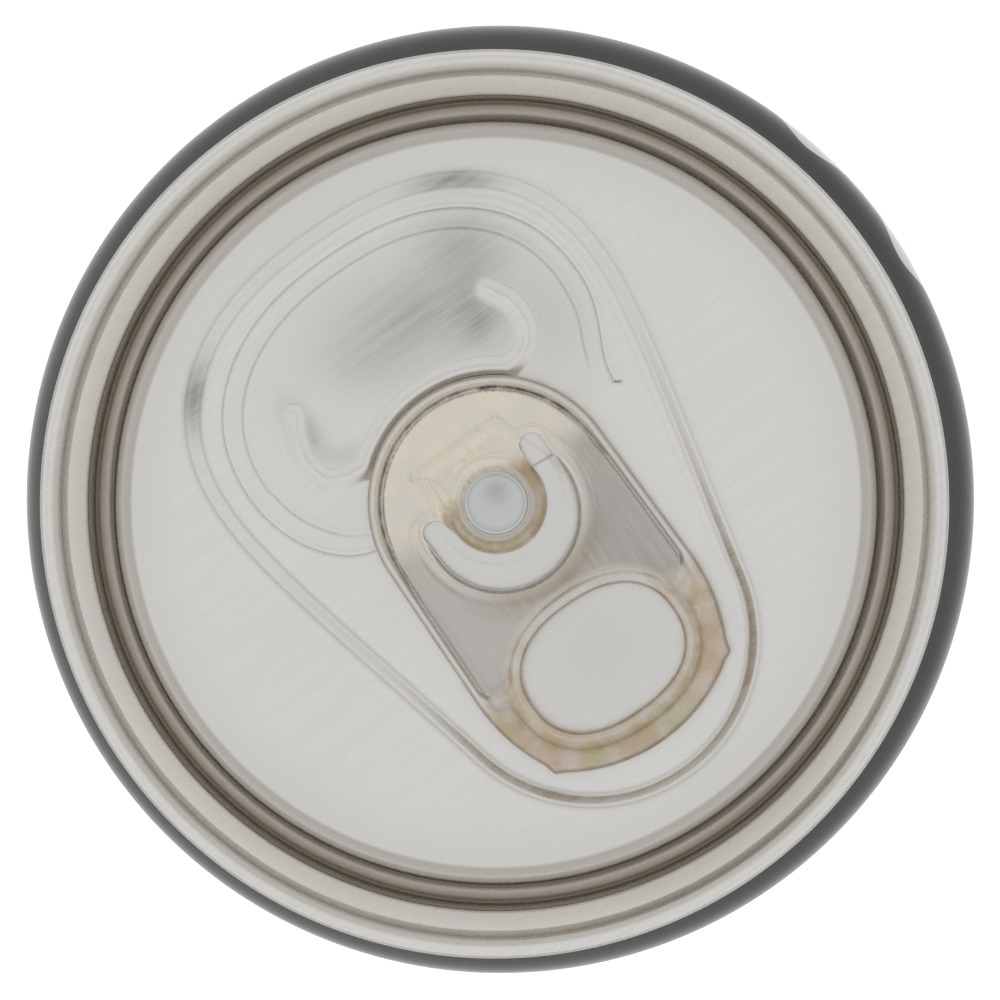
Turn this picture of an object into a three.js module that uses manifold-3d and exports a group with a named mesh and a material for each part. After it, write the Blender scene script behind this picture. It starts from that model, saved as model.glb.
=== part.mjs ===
// A sealed aluminium drinks can with a stay-on-tab end.
// Millimetres. +Z is up, the can stands on z = 0 and its axis is the rivet's axis.
// The pouring mouth is on the -Y side of the rivet, the tab's tail on the +Y side.
import * as THREE from 'three';
import { mergeVertices } from 'three/addons/utils/BufferGeometryUtils.js';
import Module from 'manifold-3d';

const wasm = await Module();
wasm.setup();

// Can body: overall sizes
const CAN_HEIGHT = 145.8;
const BODY_RADIUS = 29.0;
const BODY_WALL = 0.12;
const NECK_WALL = 0.16;
const NECK_BOTTOM_DEPTH = 13.8; // the straight wall ends this far below the seam's top
const NECK_TOP_DEPTH = 3.4; // the neck is vertical from here up
const NECK_STEPS = 7;

// Can body: base
const BASE_WALL = 0.25;
const STAND_RING_INSET = 5.7; // from the body wall to the middle of the ring it stands on
const STAND_RING_WIDTH = 0.7;
const DOME_DEPTH = 10.2;
const DOME_EDGE_LIFT = 1.4; // height of the dome's edge above the stand ring
const DOME_STEPS = 6;
const CHIME_HEIGHT = 11;

// Double seam, outside to inside: seaming panel, compound, body hook, cover hook, body wall, chuck wall
const SEAM_RADIUS = 27.4;
const SEAM_HEIGHT = 2.5;
const SEAM_CORNER = 0.4;
const LAYER_GAP = 0.02;
const COMPOUND_WIDTH = 0.12;
const COMPOUND_TOP = 0.26;
const COMPOUND_SKIRT = 1.5; // how far down the compound reaches, from the seam's top
const BODY_HOOK_LENGTH = 1.58;
const COVER_HOOK_TOP = 0.95; // depth of the cover hook's edge below the seam's top

// End shell
const END_SHEET = 0.22;
const CHUCK_WALL_BEND_DEPTH = 2.4;
const CHUCK_WALL_TAPER = 0.33; // the seam's inner face leans in this much down to the bend
const CHUCK_LEDGE_WIDTH = 1.25; // below the bend a gentler ledge runs in by this much
const CHUCK_KNEE_DEPTH = 3.45; // down to here
const CHUCK_WALL_FOOT_INSET = 1.45; // from the bend to the wall's foot, ledge included
const COUNTERSINK_DEPTH = 6.85;
const COUNTERSINK_WIDTH = 1.2;
const PANEL_DEPTH = 4.3;
const PANEL_CORNER = 0.85;
const DEBOSS_DEPTH = 0.45; // the mouth and the tab lie in a shallow recess
const DEBOSS_SLOPE_WIDTH = 0.9;

// Recess outline, at its floor
const RECESS_TAIL_RADIUS = 9.4;
const RECESS_TAIL_CENTRE_Y = 10.0;
const RECESS_SIDE_ANGLE = THREE.MathUtils.degToRad(12.5);

// Mouth, along the middle of its score line
const MOUTH_CENTRE_Y = -8.6;
const MOUTH_HALF_WIDTH = 12.1;
const MOUTH_REACH = 9.47; // from the centre to the rim end
const MOUTH_POWER = 2.25;
const MOUTH_TOP_Y = -2.6; // the straight stretch by the rivet
const MOUTH_SHOULDER_Y = -5.6; // the sides hold their direction towards here
const MOUTH_RIGHT_END = [7.4, -1.75]; // where the right side meets the stretch by the rivet
const MOUTH_RIGHT_RUN = [2.8, -0.45]; // and the way it comes in
const MOUTH_LEFT_END = [-10.1, -1.9];
const MOUTH_LEFT_RUN = 2.0; // the left side comes in straight along Y
const MOUTH_MARGIN = 1.13; // from the score line to the foot of the recess wall
const SCORE_GAP = 0.3;
const MOUTH_BEAD_CLEARANCE = 0.1; // from the tab's nose to the raised bead ahead of it
const MOUTH_BEAD_WIDTH = 1.0;
const MOUTH_BEAD_HEIGHT = 0.32;

// Rivet, drawn up out of the end shell
const RIVET_SHANK_RADIUS = 1.5;
const RIVET_HEAD_RADIUS = 2.1;
const RIVET_HEAD_HEIGHT = 0.45;
const RIVET_DISH_RADIUS = 1.2;
const RIVET_DISH_DEPTH = 0.2;
const RIVET_CLEARANCE = 0.05;

// Tab
const TAB_SHEET = 0.27;
const TAB_NOSE_RADIUS = 7.75;
const TAB_SHOULDER_Y = 9.5;
const TAB_HALF_WIDTH = 7.95; // at the shoulder
const TAB_SIDE_RADIUS = 11.6;
const TAB_TAIL_CENTRE_Y = 7.0;
const TAB_TAIL_RADIUS = 10.6;
const TAB_RIM_WIDTH = 0.75;
const TAB_TAIL_RIM_WIDTH = 1.4;
const TAB_HEIGHT = 1.1;
const TAB_LIFT_CLEARANCE = 0.25; // under the tab's rim
const TONGUE_RADIUS = 3.1;
const TONGUE_HALF_WIDTH = 2.85;
const SLOT_RADIUS = 4.6;
const SLOT_CENTRE_Y = 0.7;
const SLOT_LEG_RADIUS = 0.75;
const SLOT_LEG_BOTTOM_Y = -1.2;
const SLOT_BEAD_WIDTH = 1.0;
const SLOT_BEAD_HEIGHT = 0.35;
const FINGER_HOLE_CENTRE_Y = 11.4;
const FINGER_HOLE_HALF_WIDTH = 5.1;
const FINGER_HOLE_HALF_LENGTH = 3.8;
const FINGER_HOLE_POWER = 2.35;
const FINGER_HEM_WIDTH = 0.9;
const TAB_FOLD_GAP = 0.3;
const TAB_FOLD_Y = -3.2; // the tab folds here, ahead of its tongue, when it is lifted

const ROUND_STEPS = 48; // round the can; a multiple of four keeps its full width on X and Y
const RIVET_STEPS = 24;

// Levels worked out from the sizes above
const panelTop = CAN_HEIGHT - PANEL_DEPTH;
const floorTop = panelTop - DEBOSS_DEPTH;
const floorBottom = floorTop - END_SHEET;
const tabBottom = floorTop + TAB_LIFT_CLEARANCE;
const tabTop = tabBottom + TAB_HEIGHT;
const tongueBottom = floorTop + RIVET_CLEARANCE;
const tongueTop = tongueBottom + TAB_SHEET;

// Seam layers worked inwards from its outside
const compoundOuter = SEAM_RADIUS - END_SHEET - LAYER_GAP;
const bodyHookOuter = compoundOuter - COMPOUND_WIDTH - LAYER_GAP;
const bodyHookInner = bodyHookOuter - NECK_WALL;
const coverHookOuter = bodyHookInner - LAYER_GAP;
const coverHookInner = coverHookOuter - END_SHEET;
const neckRadius = coverHookInner - LAYER_GAP;
const neckInner = neckRadius - NECK_WALL;
const chuckOuter = neckInner - LAYER_GAP;
const chuckInner = chuckOuter - END_SHEET;
const bodyTop = CAN_HEIGHT - END_SHEET - COMPOUND_TOP - 2 * LAYER_GAP;

function turned(profile, steps) {
  const points = profile.map(([radius, height]) => new THREE.Vector2(radius, height));
  const geometry = new THREE.LatheGeometry(points, steps);
  geometry.rotateX(Math.PI / 2);
  return geometry;
}

function extruded(outline, bottom, top) {
  const shape = new THREE.Shape(outline.map(([x, y]) => new THREE.Vector2(x, y)));
  const geometry = new THREE.ExtrudeGeometry(shape, { depth: top - bottom, bevelEnabled: false });
  geometry.translate(0, 0, bottom);
  return geometry;
}

// A prism whose foot is the outline and whose sides slope out to the full width at slopeTop.
function flared(outline, bottom, slopeTop, top, spread) {
  const shape = new THREE.Shape(outline.map(([x, y]) => new THREE.Vector2(x, y)));
  const geometry = new THREE.ExtrudeGeometry(shape, {
    depth: top - slopeTop,
    bevelEnabled: true,
    bevelThickness: slopeTop - bottom,
    bevelSize: spread,
    bevelSegments: 1,
  });
  geometry.translate(0, 0, slopeTop);
  return geometry;
}

function disc(radius, x, y, bottom, top, steps) {
  const geometry = new THREE.CylinderGeometry(radius, radius, top - bottom, steps);
  geometry.rotateX(Math.PI / 2);
  geometry.translate(x, y, (top + bottom) / 2);
  return geometry;
}

function block(x0, x1, y0, y1, z0, z1) {
  const geometry = new THREE.BoxGeometry(x1 - x0, y1 - y0, z1 - z0);
  geometry.translate((x0 + x1) / 2, (y0 + y1) / 2, (z0 + z1) / 2);
  return geometry;
}

function solid(geometry) {
  const bare = geometry.clone();
  bare.deleteAttribute('normal');
  bare.deleteAttribute('uv');
  bare.clearGroups();
  const merged = mergeVertices(bare, 1e-5);
  const corners = merged.index.array;
  const kept = [];
  for (let i = 0; i < corners.length; i += 3) {
    const [a, b, c] = [corners[i], corners[i + 1], corners[i + 2]];
    if (a !== b && b !== c && c !== a) {
      kept.push(a, b, c);
    }
  }
  return new wasm.Manifold(
    new wasm.Mesh({
      numProp: 3,
      vertProperties: new Float32Array(merged.attributes.position.array),
      triVerts: new Uint32Array(kept),
    }),
  );
}

function geometryOf(manifold) {
  const mesh = manifold.getMesh();
  const geometry = new THREE.BufferGeometry();
  geometry.setAttribute('position', new THREE.BufferAttribute(new Float32Array(mesh.vertProperties), 3));
  geometry.setIndex(new THREE.BufferAttribute(new Uint32Array(mesh.triVerts), 1));
  geometry.computeVertexNormals();
  return geometry;
}

function arc(cx, cy, radius, fromDegrees, toDegrees, steps) {
  const points = [];
  for (let i = 0; i <= steps; i += 1) {
    const angle = THREE.MathUtils.degToRad(fromDegrees + ((toDegrees - fromDegrees) * i) / steps);
    points.push([cx + radius * Math.cos(angle), cy + radius * Math.sin(angle)]);
  }
  return points;
}

function superellipse(cx, cy, a, b, power, fromDegrees, toDegrees, steps) {
  return arc(0, 0, 1, fromDegrees, toDegrees, steps).map(([c, s]) => [
    cx + a * Math.sign(c) * Math.abs(c) ** (2 / power),
    cy + b * Math.sign(s) * Math.abs(s) ** (2 / power),
  ]);
}

function bezier(start, control1, control2, end, steps) {
  const curve = new THREE.CubicBezierCurve(
    new THREE.Vector2(...start),
    new THREE.Vector2(...control1),
    new THREE.Vector2(...control2),
    new THREE.Vector2(...end),
  );
  return curve.getPoints(steps).map((p) => [p.x, p.y]);
}

function mirrored(points) {
  return points.map(([x, y]) => [-x, y]).reverse();
}

// Leaves out a point that repeats the one before it, so that runs of points can be joined.
function joined(...runs) {
  const points = runs.flat();
  return points.filter((p, i) => {
    const q = points[(i + points.length - 1) % points.length];
    return Math.hypot(p[0] - q[0], p[1] - q[1]) > 1e-3;
  });
}

// Moves each side of an anticlockwise outline out by the distance, or in if it is negative.
function offset(outline, distance) {
  const count = outline.length;
  const normal = (p, q) => {
    const length = Math.hypot(q[0] - p[0], q[1] - p[1]);
    return [(q[1] - p[1]) / length, (p[0] - q[0]) / length];
  };
  return outline.map((p, i) => {
    const before = normal(outline[(i + count - 1) % count], p);
    const after = normal(p, outline[(i + 1) % count]);
    const spread = 1 + before[0] * after[0] + before[1] * after[1];
    const reach = distance / Math.max(spread, 0.5);
    return [p[0] + (before[0] + after[0]) * reach, p[1] + (before[1] + after[1]) * reach];
  });
}

// A band of even width along an open line, with square ends.
function band(line, width) {
  const side = (sign) =>
    line.map((p, i) => {
      const q = line[Math.min(i + 1, line.length - 1)];
      const o = line[Math.max(i - 1, 0)];
      const length = Math.hypot(q[0] - o[0], q[1] - o[1]);
      const reach = (sign * width) / (2 * length);
      return [p[0] + reach * (q[1] - o[1]), p[1] - reach * (q[0] - o[0])];
    });
  return [...side(1), ...side(-1).reverse()];
}

// Can body -----------------------------------------------------------------------------------------

function neckProfile(topRadius, bottomRadius) {
  const points = [];
  const bottom = CAN_HEIGHT - NECK_BOTTOM_DEPTH;
  const height = NECK_BOTTOM_DEPTH - NECK_TOP_DEPTH;
  for (let i = 0; i <= NECK_STEPS; i += 1) {
    const t = i / NECK_STEPS;
    const ease = t * t * (3 - 2 * t);
    points.push([bottomRadius + (topRadius - bottomRadius) * ease, bottom + height * t]);
  }
  return points;
}

function domeProfile(edgeRadius, edgeHeight, topHeight) {
  const rise = topHeight - edgeHeight;
  const sphere = (edgeRadius ** 2 + rise ** 2) / (2 * rise);
  const points = [];
  for (let i = 0; i <= DOME_STEPS; i += 1) {
    const radius = (edgeRadius * i) / DOME_STEPS;
    points.push([radius, topHeight - sphere + Math.sqrt(sphere ** 2 - radius ** 2)]);
  }
  return points;
}

function bodyGeometry() {
  const ring = BODY_RADIUS - STAND_RING_INSET;
  const ringIn = ring - STAND_RING_WIDTH / 2;
  const ringOut = ring + STAND_RING_WIDTH / 2;
  const legTop = 0.35;
  const domeEdge = ringIn - 0.9;
  const dome = domeProfile(domeEdge, DOME_EDGE_LIFT, DOME_DEPTH);
  const domeInside = domeProfile(domeEdge - BASE_WALL, DOME_EDGE_LIFT + BASE_WALL, DOME_DEPTH + BASE_WALL);
  const chime = BODY_RADIUS - ringOut;
  const outside = [
    ...dome,
    [ringIn - 0.35, legTop],
    [ringIn, 0],
    [ringOut, 0],
    [ringOut + 0.45, legTop],
    [ringOut + chime * 0.32, CHIME_HEIGHT * 0.22],
    [ringOut + chime * 0.72, CHIME_HEIGHT * 0.54],
    [ringOut + chime * 0.93, CHIME_HEIGHT * 0.79],
    [BODY_RADIUS, CHIME_HEIGHT],
    ...neckProfile(neckRadius, BODY_RADIUS),
  ];
  const hook = [
    [neckRadius, bodyTop - NECK_WALL],
    [bodyHookInner, bodyTop - NECK_WALL],
    [bodyHookInner, bodyTop - BODY_HOOK_LENGTH],
    [bodyHookOuter, bodyTop - BODY_HOOK_LENGTH],
    [bodyHookOuter, bodyTop],
    [neckInner, bodyTop],
  ];
  const inside = [
    ...neckProfile(neckInner, BODY_RADIUS - BODY_WALL).reverse(),
    [BODY_RADIUS - BODY_WALL, CHIME_HEIGHT],
    [ringOut + chime * 0.93 - BASE_WALL, CHIME_HEIGHT * 0.79 + BASE_WALL / 2],
    [ringOut + chime * 0.72 - BASE_WALL, CHIME_HEIGHT * 0.54 + BASE_WALL / 2],
    [ringOut + chime * 0.32 - BASE_WALL, CHIME_HEIGHT * 0.22 + BASE_WALL / 2],
    [ringOut - 0.1, BASE_WALL],
    [ringIn + 0.1, BASE_WALL],
    ...domeInside.reverse(),
  ];
  return turned([...outside, ...hook, ...inside], ROUND_STEPS);
}

// End shell ----------------------------------------------------------------------------------------

const footOuter = chuckOuter - CHUCK_WALL_TAPER - CHUCK_WALL_FOOT_INSET;
const footInner = footOuter - END_SHEET;
const sinkMiddle = footInner - COUNTERSINK_WIDTH / 2;
const sinkInner = sinkMiddle - COUNTERSINK_WIDTH / 2;

// The countersink's round bottom, from its outer wall to its inner wall.
function sinkArc(radius, steps) {
  const centre = CAN_HEIGHT - COUNTERSINK_DEPTH + COUNTERSINK_WIDTH / 2;
  return arc(sinkMiddle, centre, radius, 0, -180, steps);
}

function endProfile() {
  const level = (depth) => CAN_HEIGHT - depth;
  const corner = (radius, fromDegrees, toDegrees) =>
    arc(sinkInner - PANEL_CORNER, panelTop - PANEL_CORNER, radius, fromDegrees, toDegrees, 3);
  const wallBend = [chuckInner - CHUCK_WALL_TAPER, level(CHUCK_WALL_BEND_DEPTH)];
  const ledgeLean = Math.atan2(CHUCK_LEDGE_WIDTH, CHUCK_KNEE_DEPTH - CHUCK_WALL_BEND_DEPTH);
  const ledgeDrop = END_SHEET * Math.tan(ledgeLean / 2);
  const above = [
    [0, panelTop],
    ...corner(PANEL_CORNER, 90, 0),
    ...sinkArc(COUNTERSINK_WIDTH / 2, 4).reverse(),
    [wallBend[0] - CHUCK_LEDGE_WIDTH, level(CHUCK_KNEE_DEPTH)],
    wallBend,
    [chuckInner, level(SEAM_CORNER)],
    [chuckInner + SEAM_CORNER * 0.3, level(SEAM_CORNER * 0.3)],
    [chuckInner + SEAM_CORNER, level(0)],
    [SEAM_RADIUS - SEAM_CORNER, level(0)],
    [SEAM_RADIUS - SEAM_CORNER * 0.3, level(SEAM_CORNER * 0.3)],
    [SEAM_RADIUS, level(SEAM_CORNER)],
    [SEAM_RADIUS, level(SEAM_HEIGHT - 0.3)],
    [SEAM_RADIUS - 0.3, level(SEAM_HEIGHT)],
    [coverHookInner, level(SEAM_HEIGHT)],
    [coverHookInner, level(COVER_HOOK_TOP)],
    [coverHookOuter, level(COVER_HOOK_TOP)],
  ];
  const below = [
    [coverHookOuter, level(SEAM_HEIGHT - END_SHEET)],
    [SEAM_RADIUS - END_SHEET, level(SEAM_HEIGHT - END_SHEET)],
    [SEAM_RADIUS - END_SHEET, level(END_SHEET)],
    [chuckOuter, level(END_SHEET)],
    [chuckOuter, level(SEAM_CORNER)],
    [chuckOuter - CHUCK_WALL_TAPER, level(CHUCK_WALL_BEND_DEPTH + ledgeDrop)],
    [chuckOuter - CHUCK_WALL_TAPER - CHUCK_LEDGE_WIDTH, level(CHUCK_KNEE_DEPTH + ledgeDrop)],
    ...sinkArc(COUNTERSINK_WIDTH / 2 + END_SHEET, 4),
    ...corner(PANEL_CORNER - END_SHEET, 0, 90),
    [0, panelTop - END_SHEET],
  ];
  return [...above, ...below].reverse();
}

function recessOutline() {
  const tailAngle = THREE.MathUtils.radToDeg(RECESS_SIDE_ANGLE);
  const halfWidth = MOUTH_HALF_WIDTH + MOUTH_MARGIN + 0.1;
  const start = [
    RECESS_TAIL_RADIUS * Math.cos(RECESS_SIDE_ANGLE),
    RECESS_TAIL_CENTRE_Y + RECESS_TAIL_RADIUS * Math.sin(RECESS_SIDE_ANGLE),
  ];
  const run = 9; // the side holds the tail's slope for this long
  const side = bezier(
    [halfWidth, MOUTH_CENTRE_Y],
    [halfWidth, MOUTH_CENTRE_Y + 4],
    [start[0] + run * Math.sin(RECESS_SIDE_ANGLE), start[1] - run * Math.cos(RECESS_SIDE_ANGLE)],
    start,
    8,
  );
  const reach = MOUTH_REACH + MOUTH_MARGIN - 0.1;
  return joined(
    superellipse(0, MOUTH_CENTRE_Y, halfWidth, reach, MOUTH_POWER, 180, 360, 24),
    side,
    arc(0, RECESS_TAIL_CENTRE_Y, RECESS_TAIL_RADIUS, tailAngle, 180 - tailAngle, 16),
    mirrored(side),
  );
}

function mouthOutline() {
  const right = bezier(
    [MOUTH_HALF_WIDTH, MOUTH_CENTRE_Y],
    [MOUTH_HALF_WIDTH, MOUTH_SHOULDER_Y],
    [MOUTH_RIGHT_END[0] + MOUTH_RIGHT_RUN[0], MOUTH_RIGHT_END[1] + MOUTH_RIGHT_RUN[1]],
    MOUTH_RIGHT_END,
    7,
  );
  const left = bezier(
    MOUTH_LEFT_END,
    [MOUTH_LEFT_END[0], MOUTH_LEFT_END[1] - MOUTH_LEFT_RUN],
    [-MOUTH_HALF_WIDTH, MOUTH_SHOULDER_Y],
    [-MOUTH_HALF_WIDTH, MOUTH_CENTRE_Y],
    6,
  );
  return joined(
    superellipse(0, MOUTH_CENTRE_Y, MOUTH_HALF_WIDTH, MOUTH_REACH, MOUTH_POWER, 180, 360, 24),
    right,
    [
      [3.2, MOUTH_TOP_Y],
      [-4.2, MOUTH_TOP_Y],
    ],
    left,
  );
}

function rivetGeometry() {
  const headBottom = tongueTop + RIVET_CLEARANCE;
  const headTop = headBottom + RIVET_HEAD_HEIGHT;
  return turned(
    [
      [0, floorBottom + END_SHEET / 2],
      [RIVET_SHANK_RADIUS, floorBottom + END_SHEET / 2],
      [RIVET_SHANK_RADIUS, headBottom],
      [RIVET_HEAD_RADIUS, headBottom],
      [RIVET_HEAD_RADIUS, headTop - RIVET_HEAD_HEIGHT / 2],
      [RIVET_HEAD_RADIUS - RIVET_HEAD_HEIGHT / 2, headTop],
      [RIVET_DISH_RADIUS, headTop],
      [RIVET_DISH_RADIUS * 0.8, headTop - RIVET_DISH_DEPTH],
      [0, headTop - RIVET_DISH_DEPTH],
    ],
    RIVET_STEPS,
  );
}

function endGeometry() {
  const recess = recessOutline();
  const above = CAN_HEIGHT;
  const tray = solid(flared(recess, floorBottom, panelTop - END_SHEET, panelTop - 0.01, DEBOSS_SLOPE_WIDTH));
  const hollow = solid(flared(recess, floorTop, panelTop, above, DEBOSS_SLOPE_WIDTH));
  const mouth = solid(extruded(offset(mouthOutline(), SCORE_GAP / 2), floorBottom - 1, above));
  const shell = solid(turned(endProfile(), ROUND_STEPS)).add(trayWithoutTop(tray));
  return geometryOf(shell.subtract(hollow).subtract(mouth).add(solid(rivetGeometry())));
}

// The tray's prism closes again above its slope, so only the part up to the panel is used.
function trayWithoutTop(tray) {
  const reach = SEAM_RADIUS;
  return tray.intersect(solid(block(-reach, reach, -reach, reach, floorBottom, panelTop - END_SHEET / 2)));
}

// Sealing compound ---------------------------------------------------------------------------------

function compoundGeometry() {
  const top = CAN_HEIGHT - END_SHEET - LAYER_GAP;
  return turned(
    [
      [neckInner, bodyTop + LAYER_GAP],
      [compoundOuter - COMPOUND_WIDTH, bodyTop + LAYER_GAP],
      [compoundOuter - COMPOUND_WIDTH, CAN_HEIGHT - COMPOUND_SKIRT],
      [compoundOuter, CAN_HEIGHT - COMPOUND_SKIRT],
      [compoundOuter, top],
      [neckInner, top],
      [neckInner, bodyTop + LAYER_GAP],
    ],
    ROUND_STEPS,
  );
}

// Tear panel ---------------------------------------------------------------------------------------

// The bead follows the tab's nose, and its two ends curl down towards the rim.
function mouthBeadLine() {
  const radius = TAB_NOSE_RADIUS + MOUTH_BEAD_CLEARANCE + MOUTH_BEAD_WIDTH / 2;
  const across = arc(0, 0, radius, -128, -52, 12);
  const [endX, endY] = across[across.length - 1];
  const rightCurl = [
    [endX + 1.2, endY + 0.15],
    [endX + 2.4, endY - 0.4],
    [endX + 2.9, endY - 1.9],
    [endX + 2.0, endY - 4.6],
  ];
  const leftCurl = [
    [-endX - 2.0, endY - 4.0],
    [-endX - 2.6, endY - 2.4],
    [-endX - 2.3, endY - 0.8],
    [-endX - 1.2, endY + 0.1],
  ];
  return [...leftCurl, ...across, ...rightCurl];
}

function tearPanelGeometry() {
  const plate = solid(extruded(offset(mouthOutline(), -SCORE_GAP / 2), floorBottom, floorTop));
  const bead = extruded(
    band(mouthBeadLine(), MOUTH_BEAD_WIDTH),
    floorTop - END_SHEET / 2,
    floorTop + MOUTH_BEAD_HEIGHT,
  );
  return geometryOf(plate.add(solid(bead)));
}

// Tab ----------------------------------------------------------------------------------------------

function tabOutline(inset, tailInset) {
  const nose = arc(0, 0, TAB_NOSE_RADIUS - inset, -180, 0, 24);
  const sideCentreX = TAB_HALF_WIDTH - TAB_SIDE_RADIUS;
  const tailRadius = TAB_TAIL_RADIUS - tailInset;
  const cornerY = TAB_TAIL_CENTRE_Y + tailRadius * Math.sin(THREE.MathUtils.degToRad(53.4));
  const sideRadius = TAB_SIDE_RADIUS - inset;
  const cornerAngle = THREE.MathUtils.radToDeg(Math.asin((cornerY - TAB_SHOULDER_Y) / sideRadius));
  const side = arc(sideCentreX, TAB_SHOULDER_Y, sideRadius, 0, cornerAngle, 6);
  const cornerX = side[side.length - 1][0];
  const tailAngle = THREE.MathUtils.radToDeg(Math.acos(cornerX / tailRadius));
  const tail = arc(0, TAB_TAIL_CENTRE_Y, tailRadius, tailAngle, 180 - tailAngle, 14);
  return joined(nose, side, tail, mirrored(side));
}

function fingerHole(growth, bottom, top) {
  const outline = superellipse(
    0,
    FINGER_HOLE_CENTRE_Y,
    FINGER_HOLE_HALF_WIDTH + growth,
    FINGER_HOLE_HALF_LENGTH + growth,
    FINGER_HOLE_POWER,
    0,
    360,
    32,
  );
  return solid(extruded(joined(outline), bottom, top));
}

function slotCut(bottom, top) {
  const front = TAB_FOLD_Y - TAB_FOLD_GAP / 2;
  const neck = TONGUE_HALF_WIDTH + TAB_FOLD_GAP;
  const legX = neck + SLOT_LEG_RADIUS;
  const round = solid(disc(SLOT_RADIUS, 0, SLOT_CENTRE_Y, bottom, top, 40)).subtract(
    solid(
      block(-SLOT_RADIUS, SLOT_RADIUS, SLOT_CENTRE_Y - 2 * SLOT_RADIUS, SLOT_LEG_BOTTOM_Y, bottom - 1, top + 1),
    ),
  );
  const legs = [-legX, legX].map((x) => solid(disc(SLOT_LEG_RADIUS, x, SLOT_LEG_BOTTOM_Y, bottom, top, 16)));
  return round.add(legs[0]).add(legs[1]).add(solid(block(-neck, neck, front, 0, bottom, top)));
}

function tabLeverGeometry() {
  const webTop = tabBottom + TAB_SHEET;
  const below = tabBottom - 1;
  const above = tabTop + 1;
  const beadTop = webTop + SLOT_BEAD_HEIGHT;
  const blank = solid(extruded(tabOutline(0, 0), tabBottom, tabTop));
  const pocket = solid(extruded(tabOutline(TAB_RIM_WIDTH, TAB_TAIL_RIM_WIDTH), webTop, above));
  const bead = solid(disc(SLOT_RADIUS + SLOT_BEAD_WIDTH, 0, SLOT_CENTRE_Y, webTop - 0.1, beadTop, 40)).subtract(
    solid(block(-TAB_NOSE_RADIUS, TAB_NOSE_RADIUS, -TAB_NOSE_RADIUS, SLOT_LEG_BOTTOM_Y, below, above)),
  );
  return geometryOf(
    blank
      .subtract(pocket)
      .add(bead)
      .add(fingerHole(FINGER_HEM_WIDTH, webTop - 0.1, tabTop - 0.1))
      .subtract(fingerHole(0, below, above))
      .subtract(slotCut(below, above)),
  );
}

function tabTongueGeometry() {
  const front = TAB_FOLD_Y + TAB_FOLD_GAP / 2;
  const head = solid(disc(TONGUE_RADIUS, 0, 0, tongueBottom, tongueTop, RIVET_STEPS));
  const neck = solid(block(-TONGUE_HALF_WIDTH, TONGUE_HALF_WIDTH, front, 0, tongueBottom, tongueTop));
  const trim = solid(block(-SLOT_RADIUS, SLOT_RADIUS, front - 2, front, tongueBottom - 1, tongueTop + 1));
  const hole = disc(RIVET_SHANK_RADIUS + RIVET_CLEARANCE, 0, 0, tongueBottom - 1, tongueTop + 1, RIVET_STEPS);
  return geometryOf(head.add(neck).subtract(trim).subtract(solid(hole)));
}

// Assembly -----------------------------------------------------------------------------------------

function finish(color, roughness, metalness) {
  return new THREE.MeshStandardMaterial({ color, roughness, metalness });
}

const can = new THREE.Group();

function place(name, geometry, material) {
  const mesh = new THREE.Mesh(geometry, material);
  mesh.name = name;
  can.add(mesh);
}

place('can_body', bodyGeometry(), finish('#3c3c40', 0.3, 0.4));
place('can_end', endGeometry(), finish('#c6c3bc', 0.3, 0.9));
place('seam_compound', compoundGeometry(), finish('#3a5a50', 0.8, 0.0));
place('tear_panel', tearPanelGeometry(), finish('#c9c6bf', 0.32, 0.9));
place('tab_tongue', tabTongueGeometry(), finish('#bca88a', 0.3, 0.9));
place('tab_lever', tabLeverGeometry(), finish('#c2beb6', 0.3, 0.9));

export default can;
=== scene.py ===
"""A sealed aluminium drinks can with a lift tab.

Lengths inside this file are millimetres in the can's own frame, and become metres where a mesh is made.
The rivet stands on the can's axis, the pouring mouth is on its -Y side and the tab's tail on its +Y side.
"""

import logging
import math
from collections.abc import Callable
from dataclasses import dataclass
from enum import Enum

import bmesh
import bpy
import numpy as np
from mathutils import Matrix, Vector, geometry


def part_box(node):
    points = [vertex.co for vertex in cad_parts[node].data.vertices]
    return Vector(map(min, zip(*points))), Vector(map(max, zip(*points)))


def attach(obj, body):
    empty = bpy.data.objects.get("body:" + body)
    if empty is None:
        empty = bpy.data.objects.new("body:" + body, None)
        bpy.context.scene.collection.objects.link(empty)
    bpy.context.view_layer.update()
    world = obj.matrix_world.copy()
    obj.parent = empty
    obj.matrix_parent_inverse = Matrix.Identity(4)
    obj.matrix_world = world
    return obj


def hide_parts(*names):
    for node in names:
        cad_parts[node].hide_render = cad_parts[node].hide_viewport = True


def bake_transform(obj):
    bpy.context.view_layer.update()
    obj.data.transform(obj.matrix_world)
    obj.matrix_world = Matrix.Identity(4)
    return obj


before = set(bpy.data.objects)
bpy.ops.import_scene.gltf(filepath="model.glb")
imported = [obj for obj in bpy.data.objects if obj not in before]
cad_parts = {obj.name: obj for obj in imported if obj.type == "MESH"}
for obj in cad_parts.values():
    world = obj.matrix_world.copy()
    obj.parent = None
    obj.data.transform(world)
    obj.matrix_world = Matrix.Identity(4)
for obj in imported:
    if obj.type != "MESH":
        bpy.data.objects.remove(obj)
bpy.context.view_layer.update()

MM = 0.001
LAYER_GAP = 0.02
LOG = logging.getLogger("drinks_can")

Colour = tuple[float, float, float]
Socket = bpy.types.NodeSocket


# Small mathematics -------------------------------------------------------------------------------


def smooth(value: np.ndarray, low: float, high: float) -> np.ndarray:
    """A smooth rise from 0 at low to 1 at high.

    Args:
        value: the places to read.
        low: where the rise starts.
        high: where it ends; it may be below low for a fall.

    Returns:
        One number from 0 to 1 for each place.
    """
    t = np.clip((value - low) / (high - low), 0.0, 1.0)
    return t * t * (3.0 - 2.0 * t)


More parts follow.
